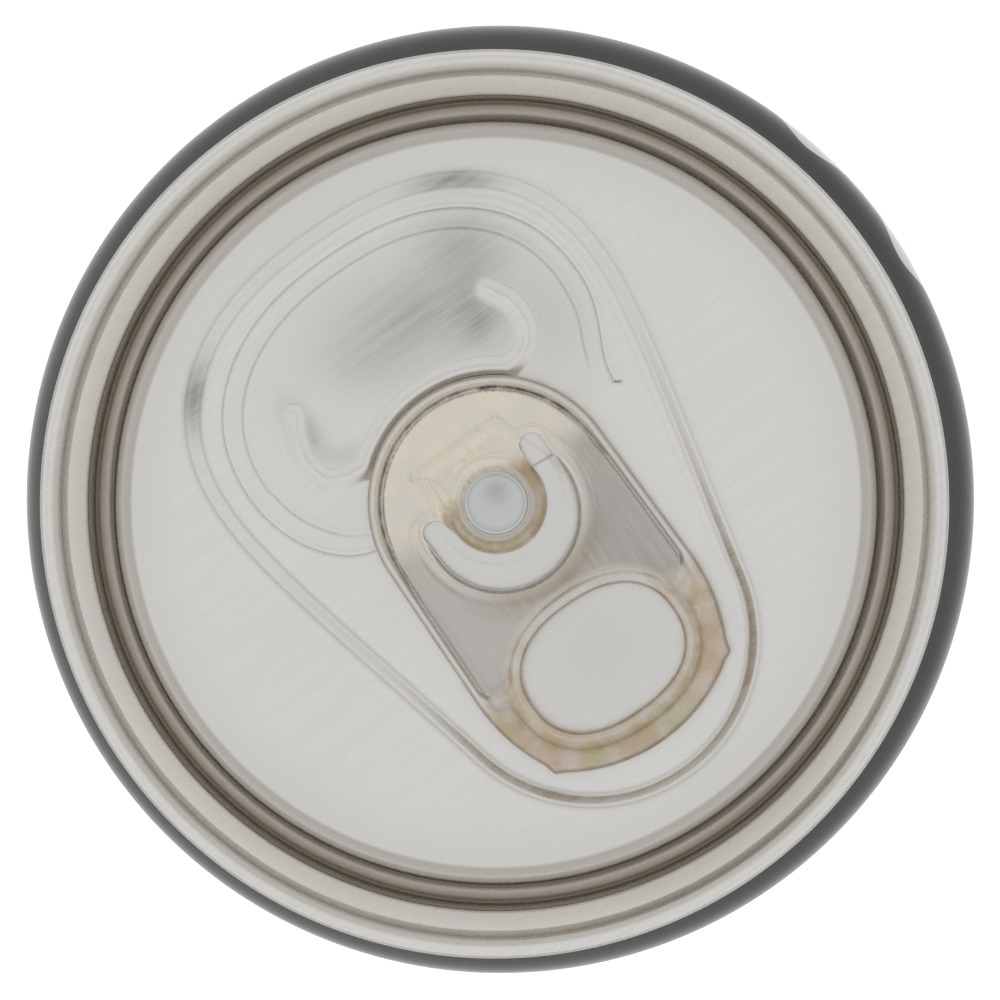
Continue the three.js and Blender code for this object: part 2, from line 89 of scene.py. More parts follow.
def ramp(value: np.ndarray, low: float, high: float, corner: float) -> np.ndarray:
    """A straight slope from 0 to 1 whose two bends are rounded.

    Args:
        value: the places to read.
        low: where the slope starts.
        high: where it ends.
        corner: the share of the slope that each rounded bend takes.

    Returns:
        One number from 0 to 1 for each place.
    """
    t = np.clip((value - low) / (high - low), 0.0, 1.0)
    slope = 1.0 / (1.0 - corner)
    first = slope * t * t / (2.0 * corner)
    middle = slope * (t - corner / 2.0)
    last = 1.0 - slope * (1.0 - t) ** 2 / (2.0 * corner)
    return np.where(t < corner, first, np.where(t > 1.0 - corner, last, middle))


def bump(distance: np.ndarray, width: float) -> np.ndarray:
    """A round-topped ridge, 1 at distance 0 and level with the ground at half its width.

    Args:
        distance: distances from the ridge's line.
        width: the whole width of the ridge.

    Returns:
        The ridge's height for each distance.
    """
    t = np.clip(np.abs(distance) / (width / 2.0), 0.0, 1.0)
    return (1.0 - t * t) ** 2


def arc(cx: float, cy: float, radius: float, start: float, end: float, steps: int) -> np.ndarray:
    """Points along an arc.

    Args:
        cx: the centre's first coordinate.
        cy: the centre's second coordinate.
        radius: the arc's radius.
        start: the first angle, in degrees.
        end: the last angle, in degrees.
        steps: how many steps to take between them.

    Returns:
        The points, one in each row.
    """
    angle = np.radians(np.linspace(start, end, steps + 1))
    return np.column_stack([cx + radius * np.cos(angle), cy + radius * np.sin(angle)])


def superellipse(centre: tuple[float, float], half: tuple[float, float], power: float,
                 start: float, end: float, steps: int) -> np.ndarray:
    """Points along a squared-off ellipse.

    Args:
        centre: its centre.
        half: its half width and half height.
        power: 2 for an ellipse, more for a squarer form.
        start: the first angle, in degrees.
        end: the last angle, in degrees.
        steps: how many steps to take between them.

    Returns:
        The points, one in each row.
    """
    unit = arc(0.0, 0.0, 1.0, start, end, steps)
    shaped = np.sign(unit) * np.abs(unit) ** (2.0 / power)
    return np.array(centre) + shaped * np.array(half)


def bezier(points: list[tuple[float, float]], steps: int) -> np.ndarray:
    """Points along a cubic Bezier curve.

    Args:
        points: its four control points.
        steps: how many steps to take.

    Returns:
        The points, one in each row.
    """
    t = np.linspace(0.0, 1.0, steps + 1)[:, None]
    a, b, c, d = (np.array(p) for p in points)
    return (1 - t) ** 3 * a + 3 * (1 - t) ** 2 * t * b + 3 * (1 - t) * t * t * c + t ** 3 * d


def spline(points: list[tuple[float, float]], steps: int) -> np.ndarray:
    """A smooth line through every point given.

    Args:
        points: the places that it passes through.
        steps: how many steps to take between neighbours.

    Returns:
        The points, one in each row.
    """
    p = np.array(points, float)
    p = np.vstack([2 * p[0] - p[1], p, 2 * p[-1] - p[-2]])
    out = []
    for i in range(1, len(p) - 2):
        t = np.linspace(0.0, 1.0, steps, endpoint=False)[:, None]
        a, b, c, d = p[i - 1], p[i], p[i + 1], p[i + 2]
        out.append(0.5 * (2 * b + (c - a) * t + (2 * a - 5 * b + 4 * c - d) * t ** 2
                          + (3 * b - a - 3 * c + d) * t ** 3))
    return np.vstack(out + [p[-2:-1]])


def filleted(corners: list[tuple[float, float, float]], step: float = 9.0) -> np.ndarray:
    """A path of straight runs whose corners are rounded.

    Args:
        corners: each corner's place and radius; the ends' radii are not used.
        step: the turn between two points of a round, in degrees.

    Returns:
        The points, one in each row.
    """
    out = [np.array(corners[0][:2])]
    for before, here, after in zip(corners, corners[1:], corners[2:]):
        p, radius = np.array(here[:2]), here[2]
        u = np.array(before[:2]) - p
        v = np.array(after[:2]) - p
        u, v = u / np.linalg.norm(u), v / np.linalg.norm(v)
        half = math.acos(float(np.clip(u @ v, -1.0, 1.0))) / 2.0
        reach = radius / math.tan(half)
        middle = p + (u + v) / np.linalg.norm(u + v) * radius / math.sin(half)
        first, last = p + u * reach - middle, p + v * reach - middle
        turn = math.atan2(first[0] * last[1] - first[1] * last[0], float(first @ last))
        for t in np.linspace(0.0, turn, max(2, int(abs(math.degrees(turn)) / step)) + 1):
            c, s = math.cos(t), math.sin(t)
            out.append(middle + np.array([c * first[0] - s * first[1], s * first[0] + c * first[1]]))
    out.append(np.array(corners[-1][:2]))
    return np.array(out)


def edge_normals(points: np.ndarray, closed: bool) -> np.ndarray:
    """The unit normal to the right of the path at each of its points.

    Args:
        points: the path.
        closed: True if its last point joins its first.

    Returns:
        One normal for each point.
    """
    if closed:
        along = np.roll(points, -1, 0) - np.roll(points, 1, 0)
    else:
        along = np.gradient(points, axis=0)
    normal = np.column_stack([along[:, 1], -along[:, 0]])
    return normal / np.maximum(np.linalg.norm(normal, axis=1), 1e-9)[:, None]


class Line:
    """A flat line that can say how far points are from it."""

    def __init__(self, points: np.ndarray, closed: bool) -> None:
        """Keeps the line.

        Args:
            points: its points, anticlockwise if it is closed.
            closed: True if its last point joins its first.
        """
        keep = np.linalg.norm(np.diff(points, axis=0, prepend=points[:1] + 9.0), axis=1) > 1e-4
        points = points[keep]
        if closed and np.linalg.norm(points[0] - points[-1]) < 1e-4:
            points = points[:-1]
        self.points = points
        self.closed = closed

    def resampled(self, spacing: float) -> "Line":
        """The same line with its points evenly spaced.

        Args:
            spacing: about how far apart the points are to be.

        Returns:
            The new line.
        """
        p = np.vstack([self.points, self.points[:1]]) if self.closed else self.points
        length = np.concatenate([[0.0], np.cumsum(np.linalg.norm(np.diff(p, axis=0), axis=1))])
        count = max(3, int(round(length[-1] / spacing)))
        at = np.linspace(0.0, length[-1], count, endpoint=not self.closed)
        return Line(np.column_stack([np.interp(at, length, p[:, i]) for i in range(2)]), self.closed)

    def moved(self, distance: float) -> np.ndarray:
        """The line's points moved to its right, which is out of an anticlockwise outline."""
        return self.points + edge_normals(self.points, self.closed) * distance

    def distance(self, places: np.ndarray) -> np.ndarray:
        """How far each place is from the line; inside a closed line it is negative.

        Args:
            places: the places, one in each row.

        Returns:
            One distance for each place.
        """
        a = self.points if self.closed else self.points[:-1]
        b = np.roll(self.points, -1, 0) if self.closed else self.points[1:]
        along = b - a
        size = np.maximum((along ** 2).sum(1), 1e-12)
        out = np.empty(len(places))
        for start in range(0, len(places), 4000):
            p = places[start:start + 4000, None, :]
            t = np.clip(((p - a) * along).sum(2) / size, 0.0, 1.0)
            gap = p - a - t[..., None] * along
            out[start:start + 4000] = np.sqrt((gap ** 2).sum(2).min(1))
        return np.where(self.contains(places), -out, out) if self.closed else out

    def contains(self, places: np.ndarray) -> np.ndarray:
        """Whether each place is inside the closed line.

        Args:
            places: the places, one in each row.

        Returns:
            True or False for each place.
        """
        a, b = self.points, np.roll(self.points, -1, 0)
        inside = np.zeros(len(places), bool)
        for start in range(0, len(places), 4000):
            p = places[start:start + 4000, None, :]
            crosses = (a[:, 1] > p[..., 1]) != (b[:, 1] > p[..., 1])
            rise = np.where(np.abs(b[:, 1] - a[:, 1]) < 1e-12, 1e-12, b[:, 1] - a[:, 1])
            at = a[:, 0] + (p[..., 1] - a[:, 1]) * (b[:, 0] - a[:, 0]) / rise
            inside[start:start + 4000] = (crosses & (p[..., 0] < at)).sum(1) % 2 == 1
        return inside


def grid_of_points(low: tuple[float, float], high: tuple[float, float], pitch: float) -> np.ndarray:
    """Points at the corners of even triangles that fill a rectangle.

    Args:
        low: the rectangle's lowest corner.
        high: its highest corner.
        pitch: the triangles' side.

    Returns:
        The points, one in each row.
    """
    rows = np.arange(low[1], high[1], pitch * math.sqrt(3.0) / 2.0)
    out = []
    for i, y in enumerate(rows):
        x = np.arange(low[0] + (i % 2) * pitch / 2.0, high[0], pitch)
        out.append(np.column_stack([x, np.full(len(x), y)]))
    return np.vstack(out)


def thinned(points: np.ndarray, gap: float) -> np.ndarray:
    """The points without those that share a cell of that size with an earlier one."""
    _, first = np.unique(np.round(points / gap).astype(int), axis=0, return_index=True)
    return points[np.sort(first)]


def rows_beside(line: Line, offsets: list[float]) -> np.ndarray:
    """Points beside a line, without those that a tight bend brings nearer to it.

    Args:
        line: the line.
        offsets: the distances to its right, one for each row of points.

    Returns:
        The points, one in each row.
    """
    out = []
    for value in offsets:
        moved = line.moved(value)
        true = np.abs(line.distance(moved))
        out.append(moved[true > abs(value) * 0.93 - 1e-3])
    return np.vstack(out)


def full_circle(radius: float, steps: int) -> np.ndarray:
    """Even points round the axis, the first on +X and none of them twice."""
    return arc(0.0, 0.0, radius, 0.0, 360.0, steps)[:-1]


def triangulated(loops: list[np.ndarray], inner: np.ndarray) -> tuple[np.ndarray, np.ndarray]:
    """Fills the area between an outer loop and any holes with triangles.

    Args:
        loops: the outer loop first, then the holes.
        inner: further points to use inside the area.

    Returns:
        The points, with the loops' own first and in order, and the triangles.
    """
    rim = np.vstack(loops)
    edges, start = [], 0
    for loop in loops:
        count = len(loop)
        edges += [(start + i, start + (i + 1) % count) for i in range(count)]
        start += count
    places = [Vector((float(x), float(y))) for x, y in np.vstack([rim, inner])]
    found, _, faces, sources, _, _ = geometry.delaunay_2d_cdt(places, edges, [], 0, 1e-6)
    flat = np.array([(p.x, p.y) for p in found])
    order = np.full(len(places), -1)
    for new, old in enumerate(sources):
        for index in old:
            order[index] = new
    triangles = np.array([f for f in faces if len(f) == 3])
    middle = flat[triangles].mean(1)
    keep = Line(loops[0], True).contains(middle)
    for hole in loops[1:]:
        keep &= ~Line(hole, True).contains(middle)
    triangles = triangles[keep]
    first = order[:len(rim)]
    rest = np.setdiff1d(np.arange(len(flat)), first)
    used = np.isin(rest, triangles)
    ranked = np.concatenate([first, rest[used]])
    back = np.full(len(flat), -1)
    back[ranked] = np.arange(len(ranked))
    return flat[ranked], back[triangles]


# Mesh making -------------------------------------------------------------------------------------


def face_outward(mesh: bpy.types.Mesh) -> int:
    """Turns a closed mesh's faces outward.

    Args:
        mesh: the mesh to mend.

    Returns:
        How many of its edges don't join just two faces, which is 0 for a closed mesh.
    """
    work = bmesh.new()
    work.from_mesh(mesh)
    bmesh.ops.recalc_face_normals(work, faces=work.faces)
    if work.calc_volume(signed=True) < 0:
        bmesh.ops.reverse_faces(work, faces=work.faces)
    open_edges = sum(1 for edge in work.edges if not edge.is_manifold)
    work.to_mesh(mesh)
    work.free()
    return open_edges


class Skin:
    """Collects the points and faces of one closed piece and makes its mesh."""

    def __init__(self) -> None:
        """Starts with nothing."""
        self.points: list[np.ndarray] = []
        self.normals: list[np.ndarray] = []
        self.faces: list[tuple[int, ...]] = []
        self.marks: dict[str, list[tuple[np.ndarray, np.ndarray]]] = {}
        self.count = 0

    def add(self, points: np.ndarray, normals: np.ndarray | None = None) -> np.ndarray:
        """Adds points.

        Args:
            points: their places, in millimetres.
            normals: the surface's true normals there, if they are known.

        Returns:
            Their indices.
        """
        self.points.append(points)
        self.normals.append(np.full(points.shape, np.nan) if normals is None else normals)
        self.count += len(points)
        return np.arange(self.count - len(points), self.count)

    def strip(self, a: np.ndarray, b: np.ndarray) -> None:
        """Joins two closed rows with faces.

        Args:
            a: the first row's indices.
            b: the second row's, as many as the first's, or one for a point on the axis.
        """
        count = len(a)
        if len(b) == 1:
            self.faces += [(int(a[i]), int(a[(i + 1) % count]), int(b[0])) for i in range(count)]
        elif count == 1:
            self.faces += [(int(b[(i + 1) % len(b)]), int(b[i]), int(a[0])) for i in range(len(b))]
        else:
            for i in range(count):
                after = (i + 1) % count
                self.faces.append((int(a[i]), int(a[after]), int(b[after]), int(b[i])))

    def loft(self, rows: list[np.ndarray]) -> None:
        """Joins each row of points to the next."""
        for a, b in zip(rows, rows[1:]):
            self.strip(a, b)

    def sheet(self, top: np.ndarray, low: np.ndarray, triangles: np.ndarray) -> None:
        """Covers both faces of a sheet.

        Args:
            top: the indices of the points on its upper face.
            low: the indices of the points on its lower face, in the same order.
            triangles: the triangles, as places in those two lists.
        """
        self.faces += [tuple(int(i) for i in top[t]) for t in triangles]
        self.faces += [tuple(int(i) for i in low[t[::-1]]) for t in triangles]

    def turned(self, profile: np.ndarray, segments: int) -> list[np.ndarray]:
        """Adds the rows of a turned surface, without faces.

        Args:
            profile: radius and height of each row.
            segments: the steps round the axis.

        Returns:
            Each row's indices; a row on the axis is one point.
        """
        angle = 2.0 * math.pi * np.arange(segments) / segments
        rows = []
        for radius, height in profile:
            if radius < 1e-6:
                rows.append(self.add(np.array([[0.0, 0.0, height]])))
            else:
                rows.append(self.add(np.column_stack(
                    [radius * np.cos(angle), radius * np.sin(angle), np.full(segments, height)])))
        return rows

    def mark(self, name: str, indices: np.ndarray, values: np.ndarray) -> None:
        """Gives some points a value that a material can read by that name."""
        self.marks.setdefault(name, []).append((indices, values))

    def made(self, name: str, material: bpy.types.Material) -> bpy.types.Object:
        """Makes the object.

        Args:
            name: its name.
            material: its one material.

        Returns:
            The new object, at the origin, with its place in its mesh.
        """
        points = np.vstack(self.points)
        mesh = bpy.data.meshes.new(name)
        mesh.from_pydata((points * MM).tolist(), [], self.faces)
        open_edges = face_outward(mesh)
        mesh.polygons.foreach_set("use_smooth", np.ones(len(mesh.polygons), bool))
        mesh.update()
        normals = np.zeros(len(points) * 3)
        mesh.vertex_normals.foreach_get("vector", normals)
        normals = normals.reshape(-1, 3)
        chosen = np.vstack(self.normals)
        known = ~np.isnan(chosen[:, 0])
        if known.any():
            normals[known] = chosen[known]
            mesh.normals_split_custom_set_from_vertices(normals.tolist())
        for mark, parts in self.marks.items():
            values = np.zeros(len(points))
            for indices, given in parts:
                values[indices] = given
            layer = mesh.attributes.new(mark, "FLOAT", "POINT")
            layer.data.foreach_set("value", values.astype(np.float32))
        mesh.materials.append(material)
        piece = bpy.data.objects.new(name, mesh)
        bpy.context.scene.collection.objects.link(piece)
        LOG.info("%s: %d faces, %d open edges", name, len(mesh.polygons), open_edges)
        return piece


def field_normals(height: Callable[[np.ndarray], np.ndarray], places: np.ndarray,
                  step: float = 0.01) -> np.ndarray:
    """The true normals of a height field.

    Args:
        height: the function that gives a height for each place.
        places: where to read it.
        step: half the distance between two readings.

    Returns:
        One upward normal for each place.
    """
    sides = []
    for axis in range(2):
        shift = np.zeros(2)
        shift[axis] = step
        sides.append((height(places + shift) - height(places - shift)) / (2.0 * step))
    normal = np.column_stack([-sides[0], -sides[1], np.ones(len(places))])
    return normal / np.linalg.norm(normal, axis=1)[:, None]


# Materials ---------------------------------------------------------------------------------------


class NodeBench:
    """Short ways to add and join shader nodes in one tree."""

    def __init__(self, tree: bpy.types.NodeTree) -> None:
        """Works in that tree."""
        self.tree = tree

    def node(self, kind: str, **settings: object) -> bpy.types.Node:
        """Adds a node.

        Args:
            kind: its type.
            settings: its properties, by their names.

        Returns:
            The node.
        """
        made = self.tree.nodes.new(kind)
        for key, value in settings.items():
            setattr(made, key, value)
        return made

    def join(self, source: Socket, target: Socket) -> None:
        """Joins two sockets."""
        self.tree.links.new(source, target)

    def put(self, target: Socket, value: object) -> None:
        """Sets a socket to a number or colour, or joins it to another socket.

        Args:
            target: the socket to set.
            value: what to set it to, or the socket to join to it.
        """
        if isinstance(value, Socket):
            self.join(value, target)
        else:
            target.default_value = value

    def math(self, operation: str, *values: object, clamp: bool = False) -> Socket:
        """A sum, product or other reckoning.

        Args:
            operation: its name.
            values: the numbers or sockets that it works on.
            clamp: True to keep the result between 0 and 1.

        Returns:
            The result.
        """
        made = self.node("ShaderNodeMath", operation=operation, use_clamp=clamp)
        for socket, value in zip(made.inputs, values):
            self.put(socket, value)
        return made.outputs[0]

    def rise(self, value: object, low: float, high: float) -> Socket:
        """A smooth rise from 0 at low to 1 at high.

        Args:
            value: the number or socket to read.
            low: where the rise starts.
            high: where it ends; it may be below low for a fall.

        Returns:
            The result, from 0 to 1.
        """
        made = self.node("ShaderNodeMapRange", interpolation_type="SMOOTHSTEP")
        self.put(made.inputs["Value"], value)
        self.put(made.inputs["From Min"], low)
        self.put(made.inputs["From Max"], high)
        return made.outputs[0]

    def band(self, value: object, low: float, high: float, soft: float) -> Socket:
        """1 between low and high and 0 elsewhere, with each edge soft for that far to both sides."""
        first = self.rise(value, low - soft, low + soft)
        return self.math("SUBTRACT", first, self.rise(value, high - soft, high + soft))

    def mix(self, factor: object, first: object, second: object, blend: str = "MIX") -> Socket:
        """A mix of two colours.

        Args:
            factor: how much of the second to take, from 0 to 1.
            first: the first colour.
            second: the second colour.
            blend: how the second is laid on the first.

        Returns:
            The mixed colour.
        """
        made = self.node("ShaderNodeMix", data_type="RGBA", blend_type=blend)
        self.put(made.inputs["Factor"], factor)
        self.put(made.inputs[6], first)
        self.put(made.inputs[7], second)
        return made.outputs[2]

    def attribute(self, name: str) -> Socket:
        """The value that a piece's points carry under that name."""
        return self.node("ShaderNodeAttribute", attribute_name=name).outputs["Fac"]

    def place(self) -> Socket:
        """The point in the can's own frame, in metres."""
        return self.node("ShaderNodeTexCoord").outputs["Object"]

    def clouds(self, place: Socket, size: float) -> Socket:
        """Soft patches.

        Args:
            place: the point.
            size: about how wide a patch is, in millimetres.

        Returns:
            A value from 0 to 1.
        """
        made = self.node("ShaderNodeGroup", node_tree=cloud_group())
        self.join(place, made.inputs["Place"])
        made.inputs["Size"].default_value = size
        return made.outputs[0]

    def grain(self, place: Socket, across: float, along: float, broken: float = 0.6) -> Socket:
        """Fine rolling lines.

        Args:
            place: the point.
            across: how fine they are from line to line.
            along: how fine they are along the lines.
            broken: how broken they are, from 0 to 1.

        Returns:
            A value round 0.5.
        """
        made = self.node("ShaderNodeGroup", node_tree=rolling_grain_group())
        self.join(place, made.inputs["Place"])
        made.inputs["Across"].default_value = across
        made.inputs["Along"].default_value = along
        made.inputs["Broken"].default_value = broken
        return made.outputs[0]

    def relief(self, height: Socket, strength: float, depth: float) -> Socket:
        """Fine relief in the surface.

        Args:
            height: how high the surface is, from 0 to 1.
            strength: how much of the relief shows.
            depth: how deep it is, in millimetres.

        Returns:
            The normal.
        """
        made = self.node("ShaderNodeBump")
        made.inputs["Strength"].default_value = strength
        made.inputs["Distance"].default_value = depth * MM
        self.join(height, made.inputs["Height"])
        return made.outputs[0]


def blank_material(name: str) -> tuple[bpy.types.Material, NodeBench, bpy.types.Node]:
    """A new material.

    Args:
        name: its name.

    Returns:
        The material, the bench for its nodes and its shader.
    """
    material = bpy.data.materials.new(name)
    material.use_nodes = True
    return material, NodeBench(material.node_tree), material.node_tree.nodes["Principled BSDF"]


def opaque(colour: Colour, share: float = 1.0) -> tuple[float, float, float, float]:
    """The colour with full alpha, dimmed to that share of its light."""
    return (*(share * c for c in colour), 1.0)


def rolling_grain_group() -> bpy.types.NodeTree:
    """The fine straight lines that a rolling mill leaves in sheet.

    Returns:
        The node group, made once. Its inputs are the place, the lines' fineness across and along them
        and how broken they are; its output is a value round 0.5.
    """
    name = "rolling_grain"
    if name in bpy.data.node_groups:
        return bpy.data.node_groups[name]
    group = bpy.data.node_groups.new(name, "ShaderNodeTree")
    face = group.interface
    face.new_socket("Place", in_out="INPUT", socket_type="NodeSocketVector")
    for label, value in (("Across", 9000.0), ("Along", 350.0), ("Broken", 0.6)):
        face.new_socket(label, in_out="INPUT", socket_type="NodeSocketFloat").default_value = value
    face.new_socket("Value", in_out="OUTPUT", socket_type="NodeSocketFloat")
    bench = NodeBench(group)
    inside, outside = bench.node("NodeGroupInput"), bench.node("NodeGroupOutput")
    split = bench.node("ShaderNodeSeparateXYZ")
    bench.join(inside.outputs["Place"], split.inputs[0])
    joined = bench.node("ShaderNodeCombineXYZ")
    bench.join(bench.math("MULTIPLY", split.outputs[0], inside.outputs["Along"]), joined.inputs[0])
    bench.join(bench.math("MULTIPLY", split.outputs[1], inside.outputs["Across"]), joined.inputs[1])
    bench.join(bench.math("MULTIPLY", split.outputs[2], 600.0), joined.inputs[2])
    noise = bench.node("ShaderNodeTexNoise")
    noise.inputs["Scale"].default_value = 1.0
    noise.inputs["Detail"].default_value = 4.0
    bench.join(inside.outputs["Broken"], noise.inputs["Roughness"])
    bench.join(joined.outputs[0], noise.inputs["Vector"])
    bench.join(noise.outputs["Fac"], outside.inputs["Value"])
    return group


def cloud_group() -> bpy.types.NodeTree:
    """Soft patches, for stains and uneven lacquer.

    Returns:
        The node group, made once. Its inputs are the place and the patches' size in millimetres; its
        output is a value from 0 to 1.
    """
    name = "soft_clouds"
    if name in bpy.data.node_groups:
        return bpy.data.node_groups[name]
    group = bpy.data.node_groups.new(name, "ShaderNodeTree")
    face = group.interface
    face.new_socket("Place", in_out="INPUT", socket_type="NodeSocketVector")
    face.new_socket("Size", in_out="INPUT", socket_type="NodeSocketFloat").default_value = 3.0
    face.new_socket("Value", in_out="OUTPUT", socket_type="NodeSocketFloat")
    bench = NodeBench(group)
    inside, outside = bench.node("NodeGroupInput"), bench.node("NodeGroupOutput")
    noise = bench.node("ShaderNodeTexNoise")
    noise.inputs["Detail"].default_value = 3.0
    bench.join(inside.outputs["Place"], noise.inputs["Vector"])
    bench.join(bench.math("DIVIDE", 1.0 / MM, inside.outputs["Size"]), noise.inputs["Scale"])
    bench.join(bench.rise(noise.outputs["Fac"], 0.35, 0.65), outside.inputs["Value"])
    return group


class GrainWay(Enum):
    """Which way the rolling lines run on a piece, as a turn about Z in degrees."""

    ALONG_X = 0.0
    ALONG_Y = 90.0


@dataclass(frozen=True)
class MetalFinish:
    """Bright lacquered aluminium sheet with rolling lines, with painted shade and tones where the piece marks
    them.
    """

    name: str
    light: Colour = (0.93, 0.92, 0.895)
    dark: Colour = (0.86, 0.85, 0.825)
    stain: Colour = (0.60, 0.47, 0.30)
    cream: Colour = (0.96, 0.88, 0.74)
    pink: Colour = (0.72, 0.54, 0.46)
    green: Colour = (0.54, 0.58, 0.36)
    scuff: Colour = (0.10, 0.10, 0.12)
    # The tint that painted shade darkens towards, and a brown tint that stands partly for lacquer and partly
    # for painted shade.
    shade: Colour = (0.35, 0.355, 0.36)
    brown_lacquer_and_shade: Colour = (0.36, 0.29, 0.22)
    roughness: float = 0.28
    lines: float = 0.12
    coat: float = 0.05
    way: GrainWay = GrainWay.ALONG_X
    stained: bool = False

    def made(self) -> bpy.types.Material:
        """Builds the material.

        Returns:
            The material, ready to put on a piece.
        """
        material, bench, shader = blank_material(self.name)
        turn = bench.node("ShaderNodeMapping", vector_type="POINT")
        turn.inputs["Rotation"].default_value = (0.0, 0.0, math.radians(self.way.value))
        bench.join(bench.place(), turn.inputs["Vector"])
        fine = bench.grain(turn.outputs[0], 14000.0, 420.0, 0.65)
        broad = bench.grain(turn.outputs[0], 1900.0, 90.0, 0.5)
        clouds = bench.clouds(turn.outputs[0], 9.0)
        shade = bench.math("ADD", bench.math("MULTIPLY", fine, 0.6), bench.math("MULTIPLY", broad, 0.4))
        shade = bench.rise(shade, 0.36, 0.64)
        colour = bench.mix(shade, opaque(self.dark), opaque(self.light))
        if self.stained:
            colour = self.stains(bench, colour)
        # Painted shade: where the piece marks it, the colour is darkened towards the shade tint, broken up by
        # the rolling lines. Then a brown tint is laid on where marked, partly lacquer pooled in hollows and
        # partly painted shade.
        broken = bench.math("ADD", 0.72, bench.math("MULTIPLY", shade, 0.56))
        darkened = bench.math("MULTIPLY", bench.attribute("shade"), broken, clamp=True)
        colour = bench.mix(darkened, colour, opaque(self.shade), "MULTIPLY")
        colour = bench.mix(bench.attribute("brown_lacquer_and_shade"), colour, opaque(self.brown_lacquer_and_shade), "MULTIPLY")
        bench.join(colour, shader.inputs["Base Color"])
        rough = bench.math("MULTIPLY", shade, self.lines)
        rough = bench.math("ADD", self.roughness - self.lines / 2.0, rough)
        rough = bench.math("ADD", rough, bench.math("MULTIPLY", clouds, 0.04))
        bench.join(rough, shader.inputs["Roughness"])
        bench.join(bench.relief(shade, 0.35, 0.004), shader.inputs["Normal"])
        shader.inputs["Metallic"].default_value = 1.0
        shader.inputs["Coat Weight"].default_value = self.coat
        shader.inputs["Coat Roughness"].default_value = 0.12
        return material

    def stains(self, bench: NodeBench, colour: Socket) -> Socket:
        """Adds the lacquer's cream tone, its amber stains, its rainbow tint and dark scuffs.

        Args:
            bench: where the nodes go.
            colour: the bare metal's colour.

        Returns:
            The stained colour.
        """
        clouds = bench.clouds(bench.place(), 1.6)
        patchy = bench.math("ADD", 0.5, bench.math("MULTIPLY", clouds, 0.5))
        for tone, name in ((self.cream, "cream"), (self.stain, "stain")):
            amount = bench.math("MULTIPLY", bench.attribute(name), patchy)
            colour = bench.mix(amount, colour, opaque(tone))
        for tone, name in ((self.pink, "pink"), (self.green, "green")):
            colour = bench.mix(bench.attribute(name), colour, opaque(tone))
        specks = bench.clouds(bench.place(), 0.9)
        scuffed = bench.math("MULTIPLY", bench.attribute("scuff"), specks)
        return bench.mix(scuffed, colour, opaque(self.scuff))


